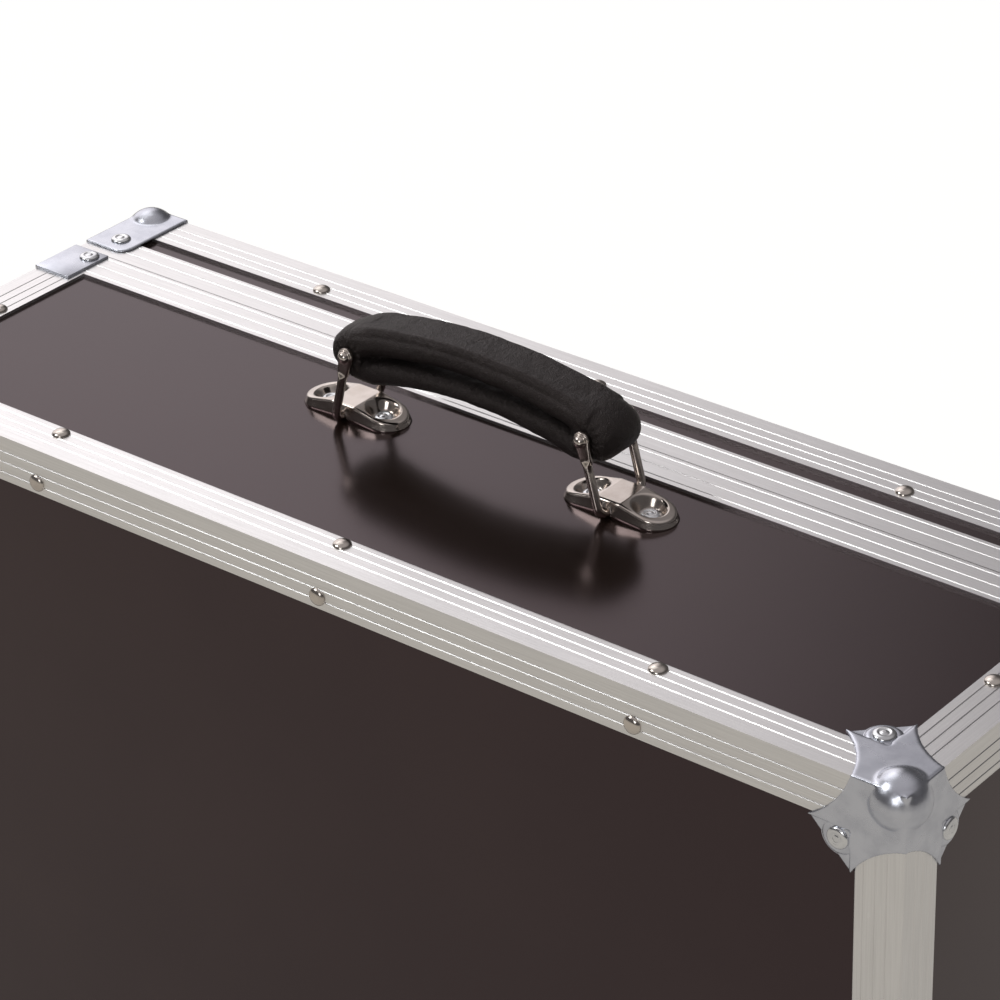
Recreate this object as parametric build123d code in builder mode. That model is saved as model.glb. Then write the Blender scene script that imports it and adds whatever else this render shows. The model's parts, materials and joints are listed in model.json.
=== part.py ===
"""Carrying case for a table-top instrument, standing on its feet with the handle on top.

The case is a shallow-lidded box of thin plywood held in aluminium edging.  X runs along the
handle, -Y is the base's outer face, +Y is the lid's outer face and Z is up.  The origin is on
the floor, under the middle of the case.  All sizes are in millimetres.
"""
from build123d import *
from math import atan2, cos, degrees, hypot, pi
import os

os.makedirs("parts", exist_ok=True)

# Driving sizes of the box
case_width = 564.0
case_height = 360.0
foot_drop = 8.0
base_depth = 153.0
lid_depth = 48.6
lid_gap = 0.4

# Plywood and edging
ply = 7.0
angle_leg = 22.0
angle_wall = 1.5
angle_round = 1.2
score_first = 7.5
score_pitch = 5.2
score_wide = 0.7
score_deep = 0.3

# Tongue and groove closing profiles
base_profile_leg = 19.2
lid_profile_leg = 17.4
profile_head = 5.0
profile_inner_leg = 12.0
profile_score_pitch = 7.2
base_score_first = 2.0
lid_score_first = 8.1
groove_start = 3.5
groove_wide = 3.2
groove_deep = 3.2
tongue_start = 4.0
tongue_wide = 1.9
tongue_long = 2.8

# Corner plates and braces
corner_wall = 1.2
ball_radius = 12.2
ball_inset = 7.0
petal_neck = 24.0
petal_tip = 43.0
petal_side = 23.5
petal_rivet = 28.7
petal_waist = (30.5, 12.5)
lid_leg_wide = 23.5
lid_leg_long = 43.0
lid_leg_round = 6.5
lid_leg_rivet = (12.5, 33.0)
brace_wide = 20.0
brace_long = 27.0
brace_rivet = (13.5, 6.4)
seat_gap = 0.2

# Fasteners
head_sides = 8
rivet_head = 4.05
rivet_rise = 2.1
rivet_crown = 2.6
rivet_line = 16.5
rivet_pitch = 158.7
side_rivet_pitch = 120.0
pop_head = 4.75
pop_rise = 1.5
pop_crown = 3.6
pop_small = 0.68

# Handle
handle_place = 108.7
bow_span = 142.2
pin_span = 125.6
bow_foot_rise = 2.3
pin_rise = 35.1
bow_leg_spread = 29.4
wire_radius = 1.8
wire_sides = 8
wire_bend = 4.5
eye_radius = 4.1
eye_thick = 2.4
pin_radius = 1.6
pin_head = 3.3
pin_head_rise = 1.8
pin_crown = 2.0
press_gap = 0.02
running_gap = 0.08
pin_slot_play = 1.25
plate_long = 54.5
plate_wide = 18.6
plate_high = 5.9
plate_tip_high = 2.6
plate_flat = 13.0
plate_wall = 1.2
plate_draft = 9.0
plate_rivet_span = 29.2
cup_sides = 12
cup_mouth = 7.0
cup_floor = 5.3
cup_floor_wall = 1.2
tunnel_gap = 0.35
cup_slope = 22.0
eye_neck = 9.5
grip_half_wide = 12.1
grip_end = 75.5
grip_top = 55.0
grip_shoulder = (60.0, 48.0)
grip_chin = (70.0, 23.5)
grip_heel = (52.0, 20.5)
grip_arch = 28.0
grip_corner = 8.0
grip_bevel = 5.0
slit_end = (57.0, 33.0)
slit_top = 40.2
slit_low = 38.4

# Latches on one short side
latch_spread = 190.0
dish_half = 38.0
dish_base_long = 52.0
dish_lid_long = 26.2
pan_half = 30.0
pan_base_long = 44.0
pan_lid_long = 20.0
pan_deep = 9.0
dish_wall = 1.2
pan_round = 6.0
dish_rivet_places = (10.0, 45.0)
keeper_rivet_place = 14.0
cut_gap = 0.2
drum_place = 24.0
drum_radius = 8.0
drum_wall = 1.8
spindle_radius = 3.0
wing_reach = 16.0
wing_half = 21.0
wing_wall = 1.8
wing_pin_radius = 0.9
hook_half = 9.0
hook_wall = 1.5
hook_travel = 4.0
hook_tail = 36.0
hook_joggle = (6.0, 8.0)
hook_arm_depth = 5.5
hook_plate_depth = 8.5
hook_nose_depth = 9.0
lip_place = 12.0
lip_wall = 1.2
lip_rise = 4.0
lip_gap = 0.2
wing_lobe = 8.5
wing_axis_rise = 1.7
wing_barrel = 1.5
wing_root = 11.2
ear_wall = 1.5
ear_rise = 3.4
drum_top_depth = 0.1

# Hinges on the other short side
hinge_spread = 190.0
hinge_long = 62.0
leaf_wide = 16.0
leaf_wall = 1.2
knuckle_radius = 2.5
knuckle_offset = 2.6
knuckle_gap = 0.3
hinge_pin_radius = 1.25
hinge_pin_gap = 0.06

# Feet and lining
foot_radius = 11.0
foot_bevel = 2.0
foot_inset = 57.0
foot_from_face = 38.8
foot_from_edge = 38.0
lining_gap = 0.3
lining_edge_gap = 0.6
device_pocket = (400.0, 262.0, 92.0)
lead_pocket = (48.0, 200.0, 60.0)
pocket_round = 8.0
device_pocket_x = 26.0
lead_pocket_x = -236.0

# Planes that the sizes give
half_width = case_width / 2
case_thick = base_depth + lid_depth
y_base = -case_thick / 2
y_lid = case_thick / 2
y_part = y_base + base_depth
z_low = foot_drop
z_top = foot_drop + case_height
z_mid = (z_low + z_top) / 2
panel_skin = angle_wall
panel_inner = angle_wall + ply
base_edge = y_part - lid_gap / 2
lid_edge = y_part + lid_gap / 2
handle_y = y_base + handle_place

MIRROR_X = Plane.YZ
MIRROR_Z = Plane.XY.offset(z_mid)

built = {}


def keep(part, label):
    """Label one finished piece and write it to its own file."""
    part.label = label
    export_step(part, f"parts/{label}.step")
    built[label] = part


def slab(label, x, y, z, cuts=()):
    """A sheet of plywood between two corners, less any cut-outs for the latches."""
    with BuildPart() as sheet:
        with Locations(((x[0] + x[1]) / 2, (y[0] + y[1]) / 2, (z[0] + z[1]) / 2)):
            Box(x[1] - x[0], y[1] - y[0], z[1] - z[0])
        for cut in cuts:
            add(cut, mode=Mode.SUBTRACT)
    keep(sheet.part, label)


def scored_line(stations, end):
    """Points along an outer face from 0 to end, dipping into a fine groove at each station."""
    points = []
    for place in stations:
        points += [(place - score_wide / 2, 0), (place, score_deep), (place + score_wide / 2, 0)]
    return points + [(end, 0)]


def edge_angle(vertex, leg_a, leg_b, length, far_mitre):
    """One run of scored angle from a case corner, with its legs towards leg_a and leg_b.

    The start is mitred against the two other runs that meet at the corner.
    """
    leg_a = Vector(*leg_a)
    leg_b = Vector(*leg_b)
    run = leg_a.cross(leg_b)
    start = Vector(*vertex)
    end = start + run * length
    stations = [score_first + i * score_pitch for i in range(3)]
    outer = scored_line(stations, angle_leg)
    points = [(0, 0)] + outer + [(angle_leg, angle_wall), (angle_wall, angle_wall)]
    points += [(y, x) for x, y in reversed(outer + [(angle_leg, angle_wall)])]
    with BuildPart() as angle:
        with BuildSketch(Plane(origin=start, x_dir=leg_a, z_dir=run)) as profile:
            with BuildLine():
                Polyline(*points, close=True)
            make_face()
            fillet(profile.vertices().sort_by_distance(start)[0], angle_round)
        extrude(amount=length)
        for leg in (leg_a, leg_b):
            split(bisect_by=Plane(origin=start, z_dir=run - leg), keep=Keep.TOP)
            if far_mitre:
                split(bisect_by=Plane(origin=end, z_dir=-run - leg), keep=Keep.TOP)
    return angle.part


def closing_profile(start, run, inward, towards_panel, length, leg, stations, tongue, cuts=()):
    """One mitred run of the closing profile, grooved on the base and tongued on the lid."""
    start = Vector(*start)
    run = Vector(*run)
    inward = Vector(*inward)
    towards_panel = Vector(*towards_panel)
    depth = panel_inner + angle_wall
    outer = [(x, y) for x, y in scored_line(stations, leg)]
    points = [(0, 0)] + outer + [(leg, angle_wall), (profile_head, angle_wall)]
    points += [(profile_head, panel_inner), (profile_inner_leg, panel_inner)]
    points += [(profile_inner_leg, depth), (0, depth)]
    if tongue:
        tip = tongue_start + tongue_wide
        points += [(0, tip), (-tongue_long, tip), (-tongue_long, tongue_start), (0, tongue_start)]
    else:
        tip = groove_start + groove_wide
        points += [(0, tip), (groove_deep, tip), (groove_deep, groove_start), (0, groove_start)]
    across = towards_panel.cross(inward)
    begin = start if (across - run).length < 0.5 else start + run * length
    with BuildPart() as profile:
        with BuildSketch(Plane(origin=begin, x_dir=towards_panel, z_dir=across)):
            with BuildLine():
                Polyline(*points, close=True)
            make_face()
        extrude(amount=length)
        split(bisect_by=Plane(origin=start, z_dir=run - inward), keep=Keep.TOP)
        split(bisect_by=Plane(origin=start + run * length, z_dir=-run - inward), keep=Keep.TOP)
        for cut in cuts:
            add(cut, mode=Mode.SUBTRACT)
    return profile.part


def head(radius, crown, rise):
    """A rivet head standing on Z = 0, eight-sided and drawn in from its rim to its crown."""
    inset = (radius - crown) * cos(pi / head_sides)
    with BuildPart() as button:
        with BuildSketch():
            RegularPolygon(radius, head_sides)
        extrude(amount=rise, taper=degrees(atan2(inset, rise)))
    return button.part


def facing(point, outward):
    """A plane at point whose normal leaves the case."""
    return Plane(origin=point, z_dir=outward)


def latch_stations():
    """Heights of the two latches on the latch side."""
    return [z_mid - latch_spread / 2, z_mid + latch_spread / 2]


def hinge_stations():
    """Heights of the two hinges on the hinge side."""
    return [z_mid - hinge_spread / 2, z_mid + hinge_spread / 2]


# Cut-outs for the latch dishes, one through the panel for the pan and one through the profile
pan_cuts = []
profile_cuts = []
for height in latch_stations():
    low = y_part - pan_base_long - dish_wall - cut_gap
    high = y_part + pan_lid_long + dish_wall + cut_gap
    across = 2 * (pan_half + dish_wall + cut_gap)
    with BuildPart() as pan_cut:
        with Locations((half_width, (low + high) / 2, height)):
            Box(4 * panel_inner, high - low, across)
    pan_cuts.append(pan_cut.part)
    with BuildPart() as profile_cut:
        with Locations((half_width, y_part, height)):
            Box(4 * panel_inner, 3 * base_profile_leg, 2 * (dish_half + cut_gap))
    profile_cuts.append(profile_cut.part)

# Plywood panels of the base and of the lid
skin_x = (-half_width + panel_skin, half_width - panel_skin)
skin_z = (z_low + panel_skin, z_top - panel_skin)
inner_z = (z_low + panel_inner, z_top - panel_inner)
base_wall_y = (y_base + panel_inner, base_edge - profile_head)
lid_wall_y = (lid_edge + profile_head, y_lid - panel_inner)
for side, wall_y, outer_y in (
    ("base", base_wall_y, (y_base + panel_skin, y_base + panel_inner)),
    ("lid", lid_wall_y, (y_lid - panel_inner, y_lid - panel_skin)),
):
    slab(f"{side}_face_panel", skin_x, outer_y, skin_z)
    slab(f"{side}_top_panel", skin_x, wall_y, (z_top - panel_inner, z_top - panel_skin))
    slab(f"{side}_foot_panel", skin_x, wall_y, (z_low + panel_skin, z_low + panel_inner))
    slab(f"{side}_hinge_panel", (-half_width + panel_skin, -half_width + panel_inner), wall_y, inner_z)
    slab(f"{side}_latch_panel", (half_width - panel_inner, half_width - panel_skin), wall_y, inner_z, pan_cuts)

# Scored angles round the base's and the lid's outer faces, and along the four short corners
for side, y_face, inward in (("base", y_base, 1), ("lid", y_lid, -1)):
    flip = inward > 0
    y_leg = (0, inward, 0)
    rims = {
        "top": ((half_width, y_face, z_top), y_leg, (0, 0, -1)) if flip
        else ((-half_width, y_face, z_top), y_leg, (0, 0, -1)),
        "foot": ((-half_width, y_face, z_low), y_leg, (0, 0, 1)) if flip
        else ((half_width, y_face, z_low), y_leg, (0, 0, 1)),
    }
    for name, (vertex, leg_a, leg_b) in rims.items():
        keep(edge_angle(vertex, leg_a, leg_b, case_width, True), f"{side}_{name}_angle")
    uprights = {
        "hinge": ((-half_width, y_face, z_low if flip else z_top), (1, 0, 0), y_leg),
        "latch": ((half_width, y_face, z_top if flip else z_low), (-1, 0, 0), y_leg),
    }
    for name, (vertex, leg_a, leg_b) in uprights.items():
        keep(edge_angle(vertex, leg_a, leg_b, case_height, True), f"{side}_{name}_angle")
    short = (base_edge - base_profile_leg - y_base) if flip else (y_lid - lid_edge - lid_profile_leg)
    leg_pair = ((0, 0, -1), (-1, 0, 0)) if flip else ((-1, 0, 0), (0, 0, -1))
    with BuildPart() as corner_angles:
        add(edge_angle((half_width, y_face, z_top), *leg_pair, short, False))
        mirror(about=MIRROR_X)
        mirror(about=MIRROR_Z)
    keep(corner_angles.part, f"{side}_corner_angles")

# Closing profiles, mitred at the corners
for side, edge, towards, leg, first, count, tongue in (
    ("base", base_edge, -1, base_profile_leg, base_score_first, 3, False),
    ("lid", lid_edge, 1, lid_profile_leg, lid_score_first, 2, True),
):
    stations = [first + i * profile_score_pitch for i in range(count)]
    sides = {
        "top": ((-half_width, edge, z_top), (1, 0, 0), (0, 0, -1), case_width, ()),
        "foot": ((-half_width, edge, z_low), (1, 0, 0), (0, 0, 1), case_width, ()),
        "hinge": ((-half_width, edge, z_low), (0, 0, 1), (1, 0, 0), case_height, ()),
        "latch": ((half_width, edge, z_low), (0, 0, 1), (-1, 0, 0), case_height, profile_cuts),
    }
    for name, (start, run, inward, length, cuts) in sides.items():
        piece = closing_profile(start, run, inward, (0, towards, 0), length, leg, stations, tongue, cuts)
        keep(piece, f"{side}_{name}_profile")


def petal_outline():
    """The outline that a ball corner shows on one face, with its corner at the origin."""
    edge = -corner_wall
    with BuildSketch() as outline:
        with BuildLine():
            Polyline((0, petal_neck), (edge, petal_neck), (edge, edge), (petal_neck, edge), (petal_neck, 0))
            ThreePointArc((petal_neck, 0), petal_waist, (petal_tip, petal_side))
            Line((petal_tip, petal_side), (petal_side, petal_tip))
            ThreePointArc((petal_side, petal_tip), petal_waist[::-1], (0, petal_neck))
        make_face()
    return outline.sketch


def petal():
    """One petal: flat over the angle legs, then cranked down on to the panel, with its rivet boss."""
    step = angle_leg + seat_gap
    low = angle_wall
    inner = 2 * petal_tip
    outline = petal_outline()
    with BuildPart() as plate:
        with BuildSketch(Plane.XY):
            add(outline)
            with Locations((step + corner_wall + inner / 2, step + corner_wall + inner / 2)):
                Rectangle(inner, inner, mode=Mode.SUBTRACT)
        extrude(amount=-corner_wall)
        with BuildSketch(Plane.XY.offset(-corner_wall)):
            add(outline)
            with Locations((step + inner / 2, step + inner / 2)):
                Rectangle(inner, inner, mode=Mode.INTERSECT)
            with Locations((step + corner_wall + inner / 2, step + corner_wall + inner / 2)):
                Rectangle(inner, inner, mode=Mode.SUBTRACT)
        extrude(amount=corner_wall + low)
        with BuildSketch(Plane.XY.offset(low)):
            add(outline)
            with Locations((step + inner / 2, step + inner / 2)):
                Rectangle(inner, inner, mode=Mode.INTERSECT)
        extrude(amount=-corner_wall)
        with BuildSketch(Plane.XY.offset(low)):
            with Locations((petal_rivet, petal_rivet)):
                RegularPolygon(boss_radius, head_sides)
        extrude(amount=-(low + boss_top), taper=8)
    return plate.part


def ball():
    """The ball that guards a corner, outside the three faces only."""
    inner = 2 * ball_radius
    with BuildPart() as bead:
        with Locations((ball_inset, ball_inset, ball_inset)):
            Sphere(ball_radius)
        with Locations((inner / 2, inner / 2, inner / 2)):
            Box(inner, inner, inner, mode=Mode.SUBTRACT)
    return bead.part


def lid_leg():
    """One leg of a lid corner, along the short edge and over the closing profile."""
    edge = -corner_wall
    with BuildPart() as leg:
        with BuildSketch(Plane.XY) as outline:
            with BuildLine():
                Polyline((edge, edge), (lid_leg_wide, edge), (lid_leg_wide, lid_leg_long), (edge, lid_leg_long), close=True)
            make_face()
            fillet(outline.vertices().sort_by_distance((lid_leg_wide, lid_leg_long))[0], lid_leg_round)
        extrude(amount=-corner_wall)
    return leg.part


diagonal = Axis((0, 0, 0), (1, 1, 1))
boss_radius = pop_head + 1.2
boss_top = corner_wall * 0.6
one_petal = petal()
one_ball = ball()
with BuildPart() as base_corner:
    add(one_petal)
    add(one_petal.rotate(diagonal, 120))
    add(one_petal.rotate(diagonal, -120))
    add(one_ball)
one_leg = lid_leg()
with BuildPart() as lid_corner:
    add(one_leg)
    add(mirror(one_leg, about=Plane(origin=(0, 0, 0), z_dir=(1, 0, -1)), mode=Mode.PRIVATE))
    add(one_petal.rotate(diagonal, -120))
    add(one_ball)

# The corners in their places: local X, Y and Z lie along case -X, inward Y and case -Z
base_place = Plane(origin=(half_width, y_base, z_top), x_dir=(-1, 0, 0), z_dir=(0, 0, -1)).location
for side, corner in (("base", base_corner.part), ("lid", lid_corner.part)):
    placed = base_place * corner
    if side == "lid":
        placed = mirror(placed, about=Plane.XZ, mode=Mode.PRIVATE)
    with BuildPart() as corners:
        add(placed)
        mirror(about=MIRROR_X)
        mirror(about=MIRROR_Z)
    keep(corners.part, f"{side}_ball_corners")

# Braces that wrap the short corners where the base's closing profile ends
with BuildPart() as braces:
    with BuildSketch(Plane.XZ.offset(-(base_edge - lid_gap))):
        with BuildLine():
            edge = half_width + corner_wall
            rise = z_top + corner_wall
            Polyline(
                (half_width - brace_wide, z_top), (half_width, z_top), (half_width, z_top - brace_wide),
                (edge, z_top - brace_wide), (edge, rise), (half_width - brace_wide, rise), close=True,
            )
        make_face()
    extrude(amount=brace_long)
    mirror(about=MIRROR_X)
    mirror(about=MIRROR_Z)
keep(braces.part, "base_corner_braces")

# Domed rivets through the angle legs
round_head = head(rivet_head, rivet_crown, rivet_rise)
for side, y_face, inward in (("base", y_base, 1), ("lid", y_lid, -1)):
    y_line = y_face + inward * rivet_line
    places = []
    for i in (-1, 0, 1):
        places.append(facing((i * rivet_pitch, y_line, z_top), (0, 0, 1)))
        places.append(facing((i * rivet_pitch, y_face, z_top - rivet_line), (0, -inward, 0)))
    side_places = []
    for i in (-0.5, 0.5):
        height = z_mid + i * side_rivet_pitch
        side_places.append(facing((half_width, y_line, height), (1, 0, 0)))
        side_places.append(facing((half_width - rivet_line, y_face, height), (0, -inward, 0)))
    if inward > 0:
        y_short = (y_base + petal_tip + base_edge - brace_long) / 2
        places.append(facing((half_width - rivet_line, y_short, z_top), (0, 0, 1)))
        places.append(facing((-half_width + rivet_line, y_short, z_top), (0, 0, 1)))
        for height in (z_low + rivet_line, z_top - rivet_line):
            side_places.append(facing((half_width, y_short, height), (1, 0, 0)))
    with BuildPart() as rivets:
        with Locations(*places):
            add(round_head)
        mirror(about=MIRROR_Z)
    with BuildPart() as side_rivets:
        with Locations(*side_places):
            add(round_head)
        mirror(about=MIRROR_X)
    with BuildPart() as all_rivets:
        add(rivets.part)
        add(side_rivets.part)
    keep(all_rivets.part, f"{side}_rivets")

# Blind rivets of the corners, braces, latches and hinges
blind_head = head(pop_head, pop_crown, pop_rise)
small_head = scale(blind_head, by=pop_small, mode=Mode.PRIVATE)
with BuildPart() as base_blind:
    x_in = half_width - petal_rivet
    with Locations(
        facing((x_in, y_base + petal_rivet, z_top + boss_top), (0, 0, 1)),
        facing((x_in, y_base - boss_top, z_top - petal_rivet), (0, -1, 0)),
        facing((half_width + boss_top, y_base + petal_rivet, z_top - petal_rivet), (1, 0, 0)),
        facing((half_width - brace_rivet[0], base_edge - brace_rivet[1], z_top + corner_wall), (0, 0, 1)),
        facing((half_width + corner_wall, base_edge - brace_rivet[1], z_top - brace_rivet[0]), (1, 0, 0)),
    ):
        add(blind_head)
    mirror(about=MIRROR_X)
    mirror(about=MIRROR_Z)
with BuildPart() as lid_blind:
    with Locations(
        facing((half_width - lid_leg_rivet[0], y_lid - lid_leg_rivet[1], z_top + corner_wall), (0, 0, 1)),
        facing((half_width + corner_wall, y_lid - lid_leg_rivet[1], z_top - lid_leg_rivet[0]), (1, 0, 0)),
        facing((x_in, y_lid + boss_top, z_top - petal_rivet), (0, 1, 0)),
    ):
        add(blind_head)
    mirror(about=MIRROR_X)
    mirror(about=MIRROR_Z)

# Handle plates: pressed shells with a sunk cup round each rivet and a tunnel for the bow
panel_z = z_top - panel_skin
handle_base = Plane(origin=(0, handle_y, panel_z))


def plate_body(lower, narrower):
    """The rising outline of a handle plate, less a skin of the given thickness."""
    half = plate_long / 2 - narrower
    with BuildPart() as body:
        with BuildSketch():
            SlotOverall(2 * half, plate_wide - 2 * narrower)
        extrude(amount=plate_high, taper=plate_draft)
        with BuildSketch(Plane.XZ):
            with BuildLine():
                Polyline(
                    (-half, 0), (-half, plate_tip_high - lower), (-plate_flat / 2, plate_high - lower),
                    (plate_flat / 2, plate_high - lower), (half, plate_tip_high - lower), (half, 0), close=True,
                )
            make_face()
        extrude(amount=plate_wide, both=True, mode=Mode.INTERSECT)
    return body.part


def handle_plate():
    """One handle plate, standing on Z = 0 with its tunnel along Y."""
    cups = [(-plate_rivet_span / 2, 0), (plate_rivet_span / 2, 0)]
    tunnel = wire_radius + tunnel_gap
    envelope = plate_body(0, 0)
    with BuildPart() as posts:
        add(envelope)
        with BuildSketch():
            with Locations(*cups):
                RegularPolygon(cup_mouth + plate_wall, cup_sides)
        extrude(amount=plate_high, mode=Mode.INTERSECT)
    with BuildPart() as plate:
        add(envelope)
        add(plate_body(plate_wall, plate_wall), mode=Mode.SUBTRACT)
        add(posts.part)
        with BuildSketch(Plane.XY.offset(cup_floor_wall)):
            with Locations(*cups):
                RegularPolygon(cup_floor, cup_sides)
        extrude(amount=plate_high, taper=-cup_slope, mode=Mode.SUBTRACT)
        with BuildSketch(Plane.XZ.offset(-plate_wide)):
            with Locations((0, (bow_foot_rise + tunnel) / 2)):
                Rectangle(2 * tunnel, bow_foot_rise + tunnel)
        extrude(amount=2 * plate_wide, mode=Mode.SUBTRACT)
    return plate.part


one_plate = handle_plate()
for name, sign in (("left", -1), ("right", 1)):
    keep(handle_base.location * Pos(sign * bow_span / 2, 0, 0) * one_plate, f"handle_plate_{name}")

with BuildPart() as plate_rivets:
    with Locations(*[
        facing((sign * bow_span / 2 + off * plate_rivet_span / 2, handle_y, panel_z + cup_floor_wall), (0, 0, 1))
        for sign in (-1, 1) for off in (-1, 1)
    ]):
        add(blind_head)
keep(plate_rivets.part, "handle_plate_rivets")

# Wire bows, each with two flattened eyes, and the headed pins through them
bow_z = panel_z + bow_foot_rise
pin_z = panel_z + pin_rise
lean_x = (bow_span - pin_span) / 2
bow_length = hypot(lean_x, pin_rise - bow_foot_rise)
eye_spread = bow_leg_spread / 2
round_pin_head = head(pin_head, pin_crown, pin_head_rise)
for name, sign in (("left", -1), ("right", 1)):
    foot = Vector(sign * bow_span / 2, handle_y, bow_z)
    rise = Vector(-sign * lean_x, 0, pin_rise - bow_foot_rise) / bow_length
    frame = Plane(origin=foot, x_dir=(0, 1, 0), z_dir=Vector(0, 1, 0).cross(rise))
    leg_top = bow_length - eye_radius
    with BuildPart() as bow:
        with BuildLine(frame) as wire:
            FilletPolyline(
                (-eye_spread, leg_top), (-eye_spread, 0), (eye_spread, 0), (eye_spread, leg_top), radius=wire_bend
            )
        with BuildSketch(Plane(origin=wire.line @ 0, z_dir=wire.line % 0)):
            RegularPolygon(wire_radius, wire_sides)
        sweep()
        for end in (-1, 1):
            eye = foot + rise * bow_length + Vector(0, end * eye_spread, 0)
            with BuildSketch(Plane(origin=eye, x_dir=(1, 0, 0), z_dir=(0, 1, 0))) as flat:
                Circle(eye_radius)
            extrude(amount=eye_thick / 2, both=True)
            neck = Plane(origin=eye, x_dir=rise, z_dir=(0, 1, 0))
            with BuildSketch(neck):
                with BuildLine():
                    Polyline(
                        (-eye_neck, wire_radius), (0, eye_radius * 0.96), (0, -eye_radius * 0.96),
                        (-eye_neck, -wire_radius), close=True,
                    )
                make_face()
            extrude(amount=eye_thick / 2, both=True)
            with BuildSketch(neck):
                Circle(pin_radius + press_gap)
            extrude(amount=eye_thick, both=True, mode=Mode.SUBTRACT)
    keep(bow.part, f"handle_bow_{name}")
    with BuildPart() as pin:
        with BuildSketch(Plane(origin=(sign * pin_span / 2, handle_y, pin_z), z_dir=(0, 1, 0))):
            Circle(pin_radius)
        extrude(amount=eye_spread + eye_thick / 2, both=True)
        for end in (-1, 1):
            face_y = handle_y + end * (eye_spread + eye_thick / 2)
            with Locations(facing((sign * pin_span / 2, face_y, pin_z), (0, end, 0))):
                add(round_pin_head)
    keep(pin.part, f"handle_pin_{name}")

# Padded grip: a thick upper band and a thin lower band, joined at both ends
side_view = Plane(origin=(0, handle_y, panel_z), x_dir=(1, 0, 0), z_dir=(0, -1, 0))
with BuildPart() as grip:
    with BuildSketch(side_view) as grip_side:
        with BuildLine():
            crown = ThreePointArc(
                (-grip_shoulder[0], grip_shoulder[1]), (0, grip_top), (grip_shoulder[0], grip_shoulder[1])
            )
            ThreePointArc(crown @ 1, (grip_end, pin_rise), grip_chin)
            Line(grip_chin, grip_heel)
            ThreePointArc(grip_heel, (0, grip_arch), (-grip_heel[0], grip_heel[1]))
            Line((-grip_heel[0], grip_heel[1]), (-grip_chin[0], grip_chin[1]))
            ThreePointArc((-grip_chin[0], grip_chin[1]), (-grip_end, pin_rise), crown @ 0)
        make_face()
        fillet(grip_side.vertices(), grip_corner)
    extrude(amount=grip_half_wide, both=True)
    rims = grip.faces().filter_by(Axis.Y)
    chamfer(rims.edges(), grip_bevel)
    with BuildSketch(side_view):
        with BuildLine():
            ThreePointArc((-slit_end[0], slit_end[1]), (0, slit_top), slit_end)
            ThreePointArc(slit_end, (0, slit_low), (-slit_end[0], slit_end[1]))
        make_face()
    extrude(amount=2 * grip_half_wide, both=True, mode=Mode.SUBTRACT)
    with BuildSketch(side_view):
        with Locations((-pin_span / 2, pin_rise)):
            Circle(pin_radius + running_gap)
        with Locations((pin_span / 2, pin_rise)):
            Circle(pin_radius + pin_slot_play)
    extrude(amount=2 * grip_half_wide, both=True, mode=Mode.SUBTRACT)
keep(grip.part, "handle_grip")

# Latches: sunk dishes, a sliding hook, a turning drum and a folding wing
dish_z = -panel_skin
floor_z = dish_z - pan_deep
edge_a = lid_gap / 2


def dish(flange_end, pan_end, sign):
    """One half of a latch dish, open at the parting line and closed at its far end."""
    with BuildPart() as pan:
        with BuildSketch(Plane.XY.offset(dish_z)) as plan:
            with Locations((sign * (edge_a + flange_end) / 2, 0)):
                Rectangle(flange_end - edge_a, 2 * dish_half)
            fillet(plan.vertices().group_by(Axis.X)[-1 if sign > 0 else 0], pan_round)
        extrude(amount=dish_wall)
        with BuildSketch(Plane.XY.offset(dish_z)) as outer:
            with Locations((sign * (edge_a + pan_end + dish_wall) / 2, 0)):
                Rectangle(pan_end + dish_wall - edge_a, 2 * (pan_half + dish_wall))
            fillet(outer.vertices().group_by(Axis.X)[-1 if sign > 0 else 0], pan_round)
        extrude(amount=-(pan_deep + dish_wall))
        with BuildSketch(Plane.XY.offset(floor_z)) as inner:
            with Locations((sign * (pan_end - dish_wall) / 2, 0)):
                Rectangle(pan_end + dish_wall, 2 * pan_half)
            fillet(inner.vertices().group_by(Axis.X)[-1 if sign > 0 else 0], pan_round - dish_wall)
        extrude(amount=pan_deep + 2 * dish_wall, mode=Mode.SUBTRACT)
        if sign < 0:
            with Locations((-(lip_place + lip_wall / 2), 0, floor_z + lip_rise / 2)):
                Box(lip_wall, 2 * (hook_half + 1), lip_rise)
    return pan.part


def hook():
    """The draw hook in its released place: over the drum's slot, with its nose clear of the lip."""
    arm_low = -hook_arm_depth
    plate_low = -hook_plate_depth
    nose_low = -hook_nose_depth
    nose_back = -(lip_place + lip_wall + lip_gap)
    nose_tip = nose_back - hook_wall
    joggle_in, joggle_out = hook_joggle
    with BuildPart() as arm:
        with BuildSketch(Plane.XZ):
            with BuildLine():
                Polyline(
                    (nose_tip, nose_low), (nose_tip, arm_low + hook_wall), (joggle_in, arm_low + hook_wall),
                    (joggle_out, plate_low + hook_wall), (hook_tail, plate_low + hook_wall), (hook_tail, plate_low),
                    (joggle_out - 0.6, plate_low), (joggle_in - 0.6, arm_low), (nose_back, arm_low),
                    (nose_back, nose_low), close=True,
                )
            make_face()
        extrude(amount=hook_half, both=True)
        with BuildSketch(Plane.XY.offset(plate_low - hook_wall)):
            with Locations((drum_place + hook_travel / 2, 0)):
                SlotCenterToCenter(hook_travel, 2 * (spindle_radius + 0.5))
        extrude(amount=3 * hook_wall, mode=Mode.SUBTRACT)
    return Pos(-hook_travel, 0, hook_travel) * arm.part


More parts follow.
